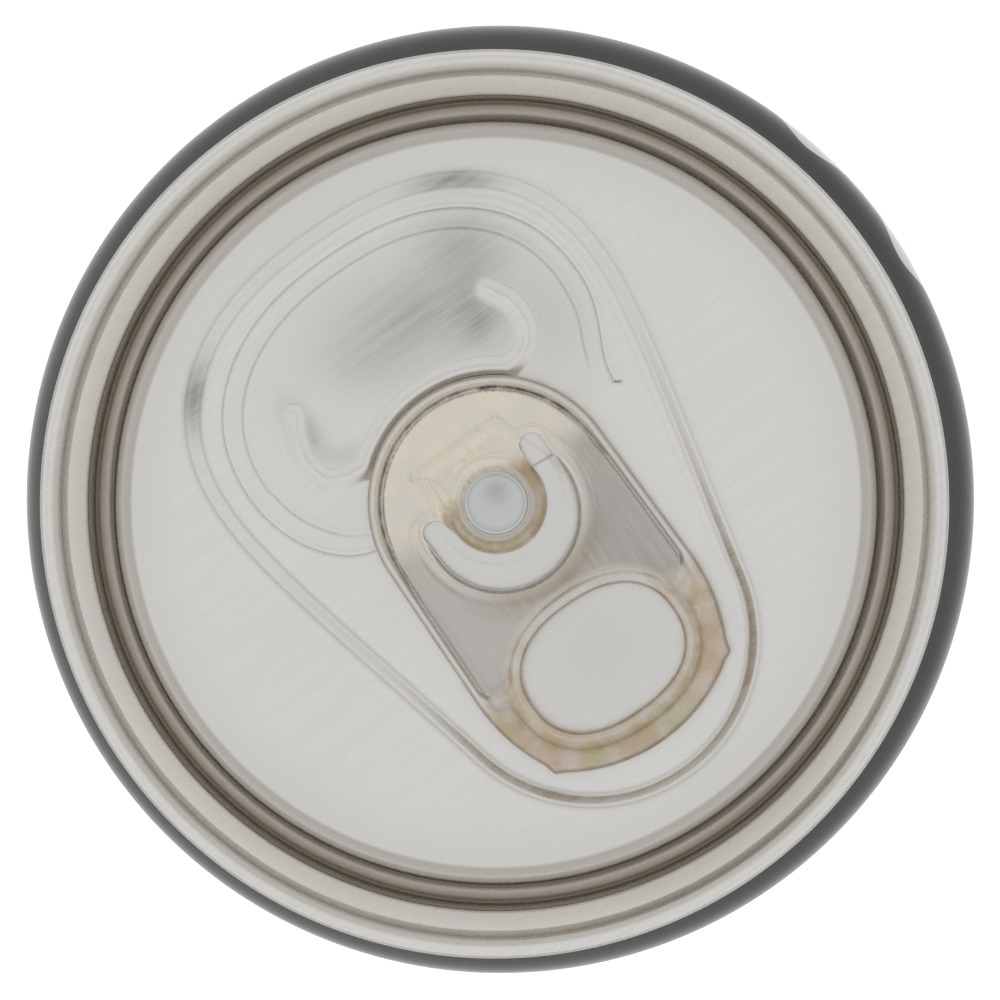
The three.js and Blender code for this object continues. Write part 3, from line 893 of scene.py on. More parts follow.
@dataclass(frozen=True)
class PrintFinish:
    """The can's print: dark round the neck, with waves in part of its lower edge, and off-white below."""

    name: str
    neck: Colour = (0.017, 0.016, 0.018)
    field: Colour = (0.80, 0.80, 0.77)
    accent: Colour = (0.55, 0.09, 0.04)
    bare: Colour = (0.80, 0.79, 0.77)
    edge_depth: float = 15.0
    base_height: float = 1.1
    foot_height: float = 19.0
    stripe_width: float = 0.7
    neck_to_stripe: float = 2.15
    foot_to_stripe: float = 1.35
    edge_softness: float = 0.05
    waves_in_a_turn: int = 20
    wave_bearing: float = 185.0
    wave_depth: float = 1.6
    wave_lift: float = 2.4
    wave_reach: float = 15.5
    wave_fade: float = 6.5

    def made(self, height: float, radius: float) -> bpy.types.Material:
        """Builds the material.

        Args:
            height: the can's height.
            radius: the can's radius.

        Returns:
            The material, ready to put on the can's body.
        """
        material, bench, shader = blank_material(self.name)
        split = bench.node("ShaderNodeSeparateXYZ")
        bench.join(bench.place(), split.inputs[0])
        x, y, z = (bench.math("DIVIDE", split.outputs[i], MM) for i in range(3))
        angle = bench.math("ARCTAN2", y, x)
        colour = self.printed(bench, z, angle, height)
        around = bench.node("ShaderNodeCombineXYZ")
        bench.join(bench.math("MULTIPLY", z, MM), around.inputs[0])
        bench.join(bench.math("MULTIPLY", angle, radius * MM), around.inputs[1])
        grain = bench.grain(around.outputs[0], 5200.0, 60.0)
        foot_ring = bench.rise(z, self.base_height + 0.6, self.base_height)
        unprinted = bench.math("MAXIMUM", foot_ring, bench.attribute("inside"))
        metal = bench.mix(bench.rise(grain, 0.35, 0.65), opaque(self.bare, 0.9), opaque(self.bare))
        bench.join(bench.mix(unprinted, colour, metal), shader.inputs["Base Color"])
        bench.join(unprinted, shader.inputs["Metallic"])
        rough = bench.math("ADD", 0.2, bench.math("MULTIPLY", grain, 0.06))
        rough = bench.math("ADD", rough, bench.math("MULTIPLY", unprinted, 0.08))
        bench.join(rough, shader.inputs["Roughness"])
        bench.join(bench.relief(grain, 0.06, 0.002), shader.inputs["Normal"])
        shader.inputs["IOR"].default_value = 1.27
        return material

    def printed(self, bench: NodeBench, z: Socket, angle: Socket, height: float) -> Socket:
        """The print's own colours.

        Args:
            bench: where the nodes go.
            z: the height above the table, in millimetres.
            angle: the bearing round the axis, in radians.
            height: the can's height.

        Returns:
            The colour.
        """
        phase = bench.math("SUBTRACT", angle, math.radians(self.wave_bearing))
        wave = bench.math("COSINE", bench.math("MULTIPLY", phase, float(self.waves_in_a_turn)))
        window = bench.rise(bench.math("COSINE", phase),
                            math.cos(math.radians(self.wave_reach + self.wave_fade)),
                            math.cos(math.radians(self.wave_reach - self.wave_fade)))
        lift = bench.math("SUBTRACT", self.wave_lift, bench.math("MULTIPLY", wave, self.wave_depth))
        lift = bench.math("MULTIPLY", lift, window)
        over_edge = bench.math("SUBTRACT", bench.math("SUBTRACT", z, height - self.edge_depth), lift)
        over_foot = bench.math("SUBTRACT", z, self.foot_height)
        soft = self.edge_softness
        neck = bench.rise(over_edge, -soft, soft)
        foot = bench.rise(over_foot, soft, -soft)
        stripe_top = -self.neck_to_stripe
        neck_stripe = bench.band(over_edge, stripe_top - self.stripe_width, stripe_top, soft)
        stripe_bottom = self.foot_to_stripe
        foot_stripe = bench.band(over_foot, stripe_bottom, stripe_bottom + self.stripe_width, soft)
        clouds = bench.math("MULTIPLY", bench.clouds(bench.place(), 14.0), 0.25)
        colour = bench.mix(clouds, opaque(self.field), opaque(self.field, 0.94))
        stripes = bench.math("ADD", neck_stripe, foot_stripe, clamp=True)
        colour = bench.mix(stripes, colour, opaque(self.accent))
        return bench.mix(bench.math("MAXIMUM", neck, foot), colour, opaque(self.neck))


@dataclass(frozen=True)
class CompoundFinish:
    """The matt rubbery sealing compound inside the seam."""

    name: str
    light: Colour = (0.28, 0.38, 0.34)
    dark: Colour = (0.19, 0.27, 0.25)

    def made(self) -> bpy.types.Material:
        """Builds the material.

        Returns:
            The material, ready to put on the ring.
        """
        material, bench, shader = blank_material(self.name)
        clouds = bench.clouds(bench.place(), 0.5)
        bench.join(bench.mix(clouds, opaque(self.dark), opaque(self.light)), shader.inputs["Base Color"])
        bench.join(bench.relief(clouds, 1.0, 0.01), shader.inputs["Normal"])
        shader.inputs["Roughness"].default_value = 0.7
        return material


# The can's sizes ---------------------------------------------------------------------------------


@dataclass(frozen=True)
class CanSizes:
    """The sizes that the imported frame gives."""

    height: float
    body_radius: float
    seam_radius: float
    tab_bottom: float
    tab_top: float
    nose: float
    tail: float
    tab_half_width: float
    sheet: float = 0.22
    tab_sheet: float = 0.25
    panel_depth: float = 4.3
    recess_depth: float = 0.45

    @classmethod
    def measured(cls) -> "CanSizes":
        """Reads the frame.

        Returns:
            The sizes, in millimetres.
        """
        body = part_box("can_body")
        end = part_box("can_end")
        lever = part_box("tab_lever")
        return cls(
            height=end[1][2] / MM,
            body_radius=body[1][0] / MM,
            seam_radius=end[1][0] / MM,
            tab_bottom=lever[0][2] / MM,
            tab_top=lever[1][2] / MM,
            nose=-lever[0][1] / MM,
            tail=lever[1][1] / MM,
            tab_half_width=lever[1][0] / MM,
        )

    @property
    def panel(self) -> float:
        """Height of the main panel's top face."""
        return self.height - self.panel_depth

    @property
    def floor(self) -> float:
        """Height of the recess floor's top face."""
        return self.panel - self.recess_depth


# Can body ----------------------------------------------------------------------------------------


@dataclass
class CanBody:
    """The drawn body: domed base, straight wall, neck and the hook inside the seam."""

    sizes: CanSizes
    wall: float = 0.12
    neck_wall: float = 0.16
    base_wall: float = 0.25
    neck_bottom: float = 13.8
    neck_top: float = 3.4
    ring_inset: float = 5.7
    ring_width: float = 0.7
    dome_depth: float = 10.2
    dome_edge_inset: float = 0.9
    dome_edge_lift: float = 1.4
    chime_height: float = 12.0
    wall_bottom: float = 20.0
    compound_width: float = 0.12
    hook_drop: float = 0.52
    hook_length: float = 1.58
    hook_corner: float = 0.08
    segments: int = 224

    def outside(self) -> np.ndarray:
        """The outer profile.

        Returns:
            Radius and height of its points, from the middle of the dome up to the seam.
        """
        s = self.sizes
        ring_in = s.body_radius - self.ring_inset - self.ring_width / 2
        ring_out = ring_in + self.ring_width
        edge = ring_in - self.dome_edge_inset
        lift = self.dome_edge_lift
        rise = self.dome_depth - lift
        sphere = (edge ** 2 + rise ** 2) / (2 * rise)
        radius = np.linspace(0.0, edge, 30)
        dome = np.column_stack([radius, self.dome_depth - sphere + np.sqrt(sphere ** 2 - radius ** 2)])
        chime = filleted([
            (edge, lift, 0),
            (ring_in - 0.1, 0.0, 0.45),
            (ring_out + 0.3, 0.0, 0.6),
            (ring_out + 1.9, 2.6, 2.5),
            (s.body_radius, 9.4, 6.0),
            (s.body_radius, self.wall_bottom, 0),
        ])
        wall_heights = np.linspace(self.wall_bottom, s.height - self.neck_bottom, 31)[1:]
        wall = np.column_stack([np.full(len(wall_heights), s.body_radius), wall_heights])
        t = np.linspace(0.0, 1.0, 44)[1:]
        ease = t * t * (3 - 2 * t)
        neck = np.column_stack([
            s.body_radius + (self.neck_radius() - s.body_radius) * ease,
            s.height - self.neck_bottom + (self.neck_bottom - self.neck_top) * t,
        ])
        return np.vstack([dome, chime[1:], wall, neck])

    def neck_radius(self) -> float:
        """The outside of the neck, inside the seam's other layers."""
        layers = 2 * self.sizes.sheet + self.compound_width + self.neck_wall + 4 * LAYER_GAP
        return self.sizes.seam_radius - layers

    def build(self, material: bpy.types.Material) -> bpy.types.Object:
        """Makes the body.

        Args:
            material: its print.

        Returns:
            The finished piece.
        """
        s = self.sizes
        outer = self.outside()
        height = outer[:, 1]
        thick = np.where(height < self.chime_height, self.base_wall, self.wall)
        thick = np.where(height > s.height - self.neck_bottom, self.neck_wall, thick)
        inner = outer - edge_normals(outer, False) * thick[:, None]
        inner[0] = (0.0, self.dome_depth + self.base_wall)
        neck = self.neck_radius()
        hook_inside = neck + s.sheet + 2 * LAYER_GAP
        hook_outside = hook_inside + self.neck_wall
        top = s.height - self.hook_drop
        tip = top - self.hook_length
        under = top - self.neck_wall
        outer_corner = self.hook_corner + self.neck_wall
        hook = filleted([
            (neck, height[-1], 0),
            (neck, under, self.hook_corner),
            (hook_inside, under, self.hook_corner),
            (hook_inside, tip, 0),
        ])[1:]
        back = filleted([
            (hook_outside, tip, 0),
            (hook_outside, top, outer_corner),
            (neck - self.neck_wall, top, outer_corner),
            (neck - self.neck_wall, height[-1], 0),
        ])
        skin = Skin()
        rows = skin.turned(np.vstack([outer, hook, back[:-1], inner[::-1]]), self.segments)
        skin.loft(rows)
        inside = np.concatenate(rows[len(outer):])
        skin.mark("inside", inside, np.ones(len(inside)))
        return skin.made("can_body_shell", material)


# Lid pattern -------------------------------------------------------------------------------------


@dataclass(frozen=True)
class ShadePatch:
    """A soft patch of painted shade on the lid."""

    x: float
    y: float
    reach_along: float
    reach_across: float
    turn: float
    depth: float
    on_slope: bool = False

    def darkness(self, x: np.ndarray, y: np.ndarray) -> np.ndarray:
        """How dark it makes each place.

        Args:
            x: the places' first coordinates.
            y: the places' second coordinates.

        Returns:
            One number for each place, at most its depth.
        """
        c, s = math.cos(math.radians(self.turn)), math.sin(math.radians(self.turn))
        u = ((x - self.x) * c + (y - self.y) * s) / self.reach_along
        v = ((y - self.y) * c - (x - self.x) * s) / self.reach_across
        return self.depth * np.exp(-(u * u + v * v))


# Patches of painted shade on the lid: on the recess's sloping wall, in a broad dark zone on the tear panel
# round the bead's curled ends, and under the tab round its finger hole and rivet.
SHADE_PATCHES = (
    ShadePatch(-8.6, -17.0, 3.6, 2.0, 24.0, 0.75, on_slope=True),
    ShadePatch(11.2, -15.6, 2.0, 2.0, 0.0, 0.75, on_slope=True),
    ShadePatch(-2.9, -11.9, 4.6, 2.5, -35.0, 0.44),
    ShadePatch(-7.0, -13.4, 3.0, 2.2, -35.0, 0.32),
    ShadePatch(-5.6, -9.9, 1.9, 1.3, 60.0, 0.34),
    ShadePatch(1.6, -11.6, 3.4, 2.1, -35.0, 0.26),
    ShadePatch(0.0, 11.4, 6.0, 4.6, 0.0, 0.15),
    ShadePatch(0.0, 1.0, 6.5, 6.0, 0.0, 0.15),
    ShadePatch(7.0, -10.4, 0.8, 1.8, 0.0, 0.55),
    ShadePatch(-9.0, -7.4, 2.6, 3.2, 0.0, 0.16),
    ShadePatch(-7.9, -14.6, 2.6, 2.0, -35.0, 0.14),
    ShadePatch(5.6, -7.5, 1.4, 0.7, -20.0, 0.20),
)


@dataclass
class LidPattern:
    """Every line pressed or cut into the lid's panel, and the height of the panel between them."""

    sizes: CanSizes
    step_width: float = 0.9
    score_width: float = 0.16
    score_depth: float = 0.09
    bead_width: float = 1.6
    bead_height: float = 0.27
    bead_offset: float = 0.45
    mouth_y: float = -8.6
    mouth_half_width: float = 12.1
    mouth_reach: float = 9.47
    mouth_power: float = 2.25
    second_score_inset: float = 1.2
    recess_half_width: float = 13.33
    recess_reach: float = 10.5
    recess_power: float = 2.35
    recess_lean: float = 12.5
    recess_tail_radius: float = 9.4
    recess_tail_y: float = 10.0
    cut_front_y: float = -6.0
    cut_right_x: float = 7.3
    cut_left_x: float = -9.95

    def __post_init__(self) -> None:
        """Works the lines out once."""
        self.recess = Line(self.recess_points(), True).resampled(0.35)
        self.score = Line(self.score_points(), True).resampled(0.22)
        self.cut = Line(self.cut_points(), False).resampled(0.22)
        self.second_score = Line(self.second_score_points(), False).resampled(0.25)
        self.bead = Line(self.bead_points(), False).resampled(0.25)
        self.hinge_line = Line(np.array([(-4.7, -0.42), (-3.0, -0.55)]), False)

    def recess_points(self) -> np.ndarray:
        """The foot of the recess's sloping wall.

        Returns:
            Its points, anticlockwise: round the mouth, up one side, round the tail and down the other side.
        """
        lean = math.radians(self.recess_lean)
        radius = self.recess_tail_radius
        half = self.recess_half_width
        start = (radius * math.cos(lean), self.recess_tail_y + radius * math.sin(lean))
        towards_tail = (start[0] + 9.0 * math.sin(lean), start[1] - 9.0 * math.cos(lean))
        side = bezier([(half, self.mouth_y), (half, self.mouth_y + 4.0), towards_tail, start], 40)
        tail = arc(0.0, self.recess_tail_y, radius, self.recess_lean, 180.0 - self.recess_lean, 60)
        mouth = superellipse((0.0, self.mouth_y), (half, self.recess_reach), self.recess_power,
                             180.0, 360.0, 120)
        return np.vstack([mouth, side[1:], tail[1:], (side * [-1, 1])[::-1][1:-1]])

    def rim(self, gap: float) -> np.ndarray:
        """One piece's edge along the score, clear of the other piece only where the metal is really cut.

        Args:
            gap: how far to stay from the score's line, outward if it is positive.

        Returns:
            The edge's points.
        """
        points = self.score.points
        live = smooth(self.cut.distance(points), 0.5, 0.2)
        return points + edge_normals(points, True) * (gap * live)[:, None]

    def cut_points(self) -> np.ndarray:
        """The stretch of the main score that is really cut.

        Returns:
            Its points, from one end to the other.
        """
        outline = self.score.points
        live = outline[:, 1] < self.cut_front_y
        live |= (outline[:, 0] > self.cut_right_x) | (outline[:, 0] < self.cut_left_x)
        start = int(np.argmax(~live & np.roll(live, 1)))
        order = np.roll(np.arange(len(outline)), -start)
        order = order[live[order]]
        hook = spline([(-10.6, -1.6), (-10.25, -1.72), tuple(outline[order[0]])], 6)
        return np.vstack([hook[:-1], outline[order]])

    def score_points(self) -> np.ndarray:
        """The main score, which the mouth tears along.

        Returns:
            Its points, anticlockwise, closed across the rivet side.
        """
        half = self.mouth_half_width
        rim = superellipse((0.0, self.mouth_y), (half, self.mouth_reach), self.mouth_power,
                           180.0, 360.0, 120)
        right = bezier([(half, self.mouth_y), (half, -5.6), (10.2, -2.2), (7.4, -1.75)], 40)
        across = spline([(7.4, -1.75), (5.2, -1.95), (3.2, -2.6), (0.0, -2.95), (-3.2, -2.6), (-5.6, -2.1),
                         (-9.4, -1.75), (-10.1, -2.05)], 14)
        left = bezier([(-10.1, -2.05), (-10.1, -3.9), (-half, -5.6), (-half, self.mouth_y)], 40)
        return np.vstack([rim, right[1:], across[1:], left[1:-1]])

    def second_score_points(self) -> np.ndarray:
        """The shallow score just inside the main one.

        Returns:
            Its points, from one end to the other.
        """
        half = self.mouth_half_width - self.second_score_inset
        reach = self.mouth_reach - 0.95 * self.second_score_inset
        low = superellipse((0.0, self.mouth_y), (half, reach), self.mouth_power, 180.0, 360.0, 100)
        right = spline([(half, self.mouth_y), (10.43, -6.39), (9.52, -4.65), (8.43, -3.46),
                        (7.39, -2.87)], 12)
        left = spline([(-8.6, -1.9), (-9.17, -2.9), (-9.75, -4.6), (-10.6, -6.6),
                       (-half, self.mouth_y)], 12)
        return np.vstack([left, low[1:], right[1:]])

    def bead_points(self) -> np.ndarray:
        """The raised bead ahead of the tab's nose.

        Returns:
            Its points, with its two curled ends.
        """
        across = arc(0.0, 0.0, self.sizes.nose + self.bead_offset, -130.0, -50.0, 40)
        left = spline([(-7.0, -10.9), (-7.75, -9.3), (-7.55, -7.6), (-6.6, -6.55), tuple(across[0])], 10)
        right = spline([tuple(across[-1]), (6.6, -6.5), (7.65, -7.1), (8.0, -8.6), (7.75, -9.9),
                        (7.0, -11.4)], 10)
        return np.vstack([left[:-1], across, right[1:]])

    def height(self, places: np.ndarray) -> np.ndarray:
        """The panel's height over the recess floor.

        Args:
            places: the places, seen from above.

        Returns:
            One height for each place.
        """
        away = self.recess.distance(places)
        out = self.sizes.recess_depth * ramp(away, 0.0, self.step_width, 0.3)
        out -= 0.035 * bump(away + 0.25, 0.9)
        out += 0.03 * bump(away - self.step_width - 0.2, 0.8)
        score = self.score.distance(places)
        cut = self.cut.distance(places)
        out -= self.score_depth * np.clip(1.0 - cut / (self.score_width / 2), 0.0, 1.0)
        out += 0.018 * bump(cut - 0.22, 0.34)
        faint = smooth(places[:, 1], -1.6, -3.2) * smooth(np.abs(places[:, 0] + 8.9), 0.0, 1.2)
        faint = np.maximum(faint, smooth(places[:, 1], -3.4, -4.2))
        second = self.second_score.distance(places)
        out -= 0.07 * faint * np.clip(1.0 - second / 0.09, 0.0, 1.0)
        out += 0.012 * faint * bump(second - 0.18, 0.3)
        out += self.bead_height * bump(self.bead.distance(places), self.bead_width)
        out += 0.10 * smooth(score, 0.0, -4.0) * smooth(places[:, 1], -5.0, -11.0)
        rivet = np.hypot(places[:, 0], places[:, 1])
        out += 0.04 * bump(rivet - 3.95, 0.9)
        out -= 0.05 * np.clip(1.0 - self.hinge_line.distance(places) / 0.1, 0.0, 1.0)
        return out

    def shade(self, places: np.ndarray) -> np.ndarray:
        """How much painted shade darkens the panel's metal: dark lines along its bends and scores, darker
        towards its edge, and soft patches of painted shade.

        Args:
            places: the places, seen from above.

        Returns:
            A number from 0 to 1 for each place.
        """
        x, y = places.T
        away = self.recess.distance(places)
        # Painted shade: dark lines at the foot and the top of the recess's sloping wall, and darker towards
        # the panel's edge.
        out = 0.30 * bump(away - 0.93, 0.34) + 0.24 * bump(away, 0.34)
        out = out + 0.10 * smooth(np.hypot(x, y), 18.5, 22.3)
        slope = bump(away - 0.45, 1.7)
        bead = 1.0 - smooth(self.bead.distance(places), self.bead_width * 0.62, self.bead_width * 0.3)
        # Soft patches of painted shade, either on the recess's slope or kept off the bead so that the bead
        # stays bright.
        for shade_patch in SHADE_PATCHES:
            out = out + shade_patch.darkness(x, y) * (slope if shade_patch.on_slope else bead)
        # Painted shade along the hinge line, the second score and just inside the main score.
        out = out + 0.5 * bump(self.hinge_line.distance(places), 0.22)
        out = out + 0.22 * bump(self.second_score.distance(places), 0.24) * smooth(y, -3.2, -4.2)
        return np.clip(out + 0.03 * smooth(self.score.distance(places), 0.3, -0.6), 0.0, 1.0)


# How much brown tint the lid takes at a distance from the axis, below the ledge in the chuck wall and above
# it: partly brown lacquer pooled there, partly painted shade deep in the countersink and the seam.
LACQUER_AND_SHADE_IN_COUNTERSINK = (
    (22.2, 0.72), (22.4, 0.72), (22.6, 0.36), (22.95, 0.3), (23.15, 0.44), (23.3, 0.34), (23.55, 0.36),
    (23.8, 0.74), (24.0, 0.84), (24.2, 0.66), (24.45, 0.52), (24.7, 0.36), (24.9, 0.1),
)
LACQUER_AND_SHADE_ON_CHUCK_WALL = (
    (24.8, 0.15), (25.1, 0.0), (25.8, 0.0), (25.95, 0.25), (26.1, 0.45), (26.4, 0.42), (26.6, 0.2),
    (26.75, 0.03), (27.0, 0.0),
)


@dataclass
class CanEnd:
    """The end shell: double seam, chuck wall, countersink and panel, and the rivet."""

    sizes: CanSizes
    pattern: LidPattern
    flat_radius: float = 22.2
    countersink_in: float = 23.09
    countersink_out: float = 24.50
    countersink_depth: float = 6.96
    score_clearance: float = 0.004
    segments: int = 256
    rivet_segments: int = 96

    def section(self) -> np.ndarray:
        """The middle of the sheet beyond the panel.

        Returns:
            Radius and height of its points, out over the seam and under to the cover hook.
        """
        s = self.sizes
        top = s.height
        middle = s.sheet / 2
        return filleted([
            (self.flat_radius, s.panel - middle, 0),
            (self.countersink_in, s.panel - middle, 0.55),
            (self.countersink_in, top - self.countersink_depth, 0.6),
            (self.countersink_out, top - self.countersink_depth, 0.6),
            (24.76, top - 3.52, 0.5),
            (25.98, top - 2.46, 0.35),
            (s.seam_radius - 1.09, top - middle, 0.46),
            (s.seam_radius - middle, top - middle, 0.44),
            (s.seam_radius - middle, top - 2.39, 0.2),
            (s.seam_radius - 0.67, top - 2.39, 0.2),
            (s.seam_radius - 0.67, top - 0.95, 0),
        ], 8.0)

    def build(self, material: bpy.types.Material) -> bpy.types.Object:
        """Makes the end shell.

        Args:
            material: its metal.

        Returns:
            The finished piece.
        """
        s, pattern = self.sizes, self.pattern
        skin = Skin()
        circle = full_circle(self.flat_radius, self.segments)
        mouth = pattern.rim(self.score_clearance)
        edge_rings = [full_circle(self.flat_radius - inset, self.segments) for inset in (0.2, 0.5, 1.0)]
        rivet_rings = [full_circle(radius, steps) for radius, steps in
                       ((3.5, 70), (3.75, 74), (3.95, 78), (4.15, 80), (4.4, 84))]
        inner = np.vstack([
            rows_beside(pattern.recess, [-0.7, -0.5, -0.3, -0.15, 0.0, 0.14, 0.28, 0.45, 0.62, 0.76, 0.9,
                                         1.05, 1.25, 1.5]),
            rows_beside(pattern.score, [0.03, 0.055, 0.085, 0.13, 0.2, 0.3, 0.42]),
            *edge_rings,
            *rivet_rings,
            rows_beside(pattern.hinge_line.resampled(0.15), [-0.1, -0.05, 0.0, 0.05, 0.1]),
        ])
        corner = (self.flat_radius, self.flat_radius)
        spread = grid_of_points((-corner[0], -corner[1]), corner, 0.62)
        near = np.minimum(np.abs(pattern.recess.distance(spread) - 0.4) - 1.1,
                          pattern.score.distance(spread) - 0.4)
        spread = spread[(near > 0.2) & (np.hypot(spread[:, 0], spread[:, 1]) < self.flat_radius - 1.3)]
        inner = thinned(np.vstack([inner, spread]), 0.02)
        inner = inner[(np.hypot(inner[:, 0], inner[:, 1]) < self.flat_radius - 0.15)
                      & (Line(mouth, True).distance(inner) > 0.012)]
        flat, triangles = triangulated([circle, mouth], inner)
        level = s.floor + pattern.height(flat)
        top = skin.add(np.column_stack([flat, level]), field_normals(pattern.height, flat))
        # Painted shade over the panel.
        skin.mark("shade", top, pattern.shade(flat))
        # A thin dark line at the panel's outer bend: painted shade.
        skin.mark("brown_lacquer_and_shade", top, 0.45 * bump(np.hypot(*flat.T) - self.flat_radius, 0.3))
        low = skin.add(np.column_stack([flat, level - s.sheet]))
        skin.sheet(top, low, triangles)
        count = len(circle)
        hole = slice(count, count + len(mouth))
        skin.strip(low[hole], top[hole])
        middle = self.section()
        normal = edge_normals(middle, False) * s.sheet / 2
        upper = (middle - normal)[1:]
        lower = (middle + normal)[1:]
        turned = skin.turned(upper, self.segments)
        # Brown tint down the countersink and the chuck wall, partly lacquer and partly painted shade.
        for (radius, height), row in zip(upper, turned):
            skin.mark("brown_lacquer_and_shade", row, np.full(len(row), self.groove_lacquer_and_shade(radius, s.height - height)))
        rows = [top[:count]] + turned + skin.turned(lower[::-1], self.segments)
        skin.loft(rows + [low[:count]])
        return skin.made("can_end_shell", material)

    def groove_lacquer_and_shade(self, radius: float, depth: float) -> float:
        """How much brown tint lies in the countersink and on the seam's inner face, partly lacquer and partly
        painted shade.

        Args:
            radius: the place's distance from the axis.
            depth: how far it is below the top of the seam.

        Returns:
            A number from 0 to 1.
        """
        steps = LACQUER_AND_SHADE_IN_COUNTERSINK if depth > 3.0 else LACQUER_AND_SHADE_ON_CHUCK_WALL
        return float(np.interp(radius, *zip(*steps)))

    def build_rivet(self, material: bpy.types.Material) -> bpy.types.Object:
        """Makes the rivet's button, which is drawn up out of the end's sheet.

        Args:
            material: its metal.

        Returns:
            The finished piece.
        """
        base = self.sizes.floor
        profile = filleted([
            (0.0, base - 0.12, 0),
            (1.45, base - 0.12, 0.05),
            (1.45, base + 0.36, 0.05),
            (1.94, base + 0.36, 0.05),
            (1.94, base + 0.72, 0.16),
            (1.68, base + 0.75, 0.05),
            (1.5, base + 0.69, 0.5),
            (1.2, base + 0.68, 0),
        ], 12.0)
        middle = np.column_stack([np.linspace(1.0, 0.0, 6), np.full(6, base + 0.675)])
        profile = np.vstack([profile, middle])
        skin = Skin()
        rows = skin.turned(profile, self.rivet_segments)
        skin.loft(rows)
        # Painted shade on the rivet's top: a soft dark spot off its middle and a dark ring near the edge of
        # its raised face.
        spot_x, spot_y, rim_radius = -0.42, -0.55, 1.72
        for radius, row in zip(profile[:, 0], rows):
            turn = 2.0 * math.pi * np.arange(len(row)) / self.rivet_segments
            x = radius * np.cos(turn) - spot_x
            y = radius * np.sin(turn) - spot_y
            rivet_shade = 0.34 * np.exp(-(x * x + y * y) / 0.7)
            rivet_shade = rivet_shade + 0.5 * bump(np.full(len(row), radius - rim_radius), 0.16)
            skin.mark("shade", row, rivet_shade * (radius < 1.9))
        return skin.made("rivet_button", material)


@dataclass
class TearPanel:
    """The part of the lid inside the score, which the tab pushes in."""

    sizes: CanSizes
    pattern: LidPattern
    score_clearance: float = 0.004

    def build(self, material: bpy.types.Material) -> bpy.types.Object:
        """Makes the tear panel.

        Args:
            material: its metal.

        Returns:
            The finished piece.
        """
        s, pattern = self.sizes, self.pattern
        skin = Skin()
        rim = pattern.rim(-self.score_clearance)
        width = pattern.bead_width
        across = [width * k / 12 for k in range(-7, 8)]
        inner = np.vstack([
            rows_beside(pattern.score, [-0.03, -0.055, -0.085, -0.13, -0.2, -0.3, -0.42]),
            rows_beside(pattern.second_score, [-0.3, -0.2, -0.1, -0.05, 0.0, 0.05, 0.1, 0.2, 0.3]),
            rows_beside(pattern.bead, across),
        ])
        for end in (pattern.bead.points[0], pattern.bead.points[-1]):
            for radius in np.linspace(0.1, width * 0.58, 6):
                inner = np.vstack([inner, arc(end[0], end[1], radius, 0.0, 360.0, 18)[:-1]])
        spread = grid_of_points((-13.0, -19.0), (13.0, -1.0), 0.5)
        near = np.minimum(pattern.bead.distance(spread) - width * 0.6,
                          pattern.second_score.distance(spread) - 0.3)
        near = np.minimum(near, -pattern.score.distance(spread) - 0.4)
        inner = thinned(np.vstack([inner, spread[near > 0.12]]), 0.02)
        inner = inner[Line(rim, True).distance(inner) < -0.012]
        flat, triangles = triangulated([rim], inner)
        level = s.floor + pattern.height(flat)
        top = skin.add(np.column_stack([flat, level]), field_normals(pattern.height, flat))
        # Painted shade over the tear panel.
        skin.mark("shade", top, pattern.shade(flat))
        low = skin.add(np.column_stack([flat, level - s.sheet]))
        skin.sheet(top, low, triangles)
        skin.strip(low[:len(rim)], top[:len(rim)])
        return skin.made("tear_panel_sheet", material)


# Tab ---------------------------------------------------------------------------------------------


# Small dents and pimples on the nose's web: place, radius and how far each rises.
NOSE_DENTS = (
    (3.07, -4.14, 0.5, -0.08),
    (-1.9, -4.27, 0.5, -0.06),
    (-0.3, -3.45, 0.5, 0.07),
    (0.35, -3.25, 0.4, 0.05),
    (-0.9, -3.3, 0.35, 0.04),
)


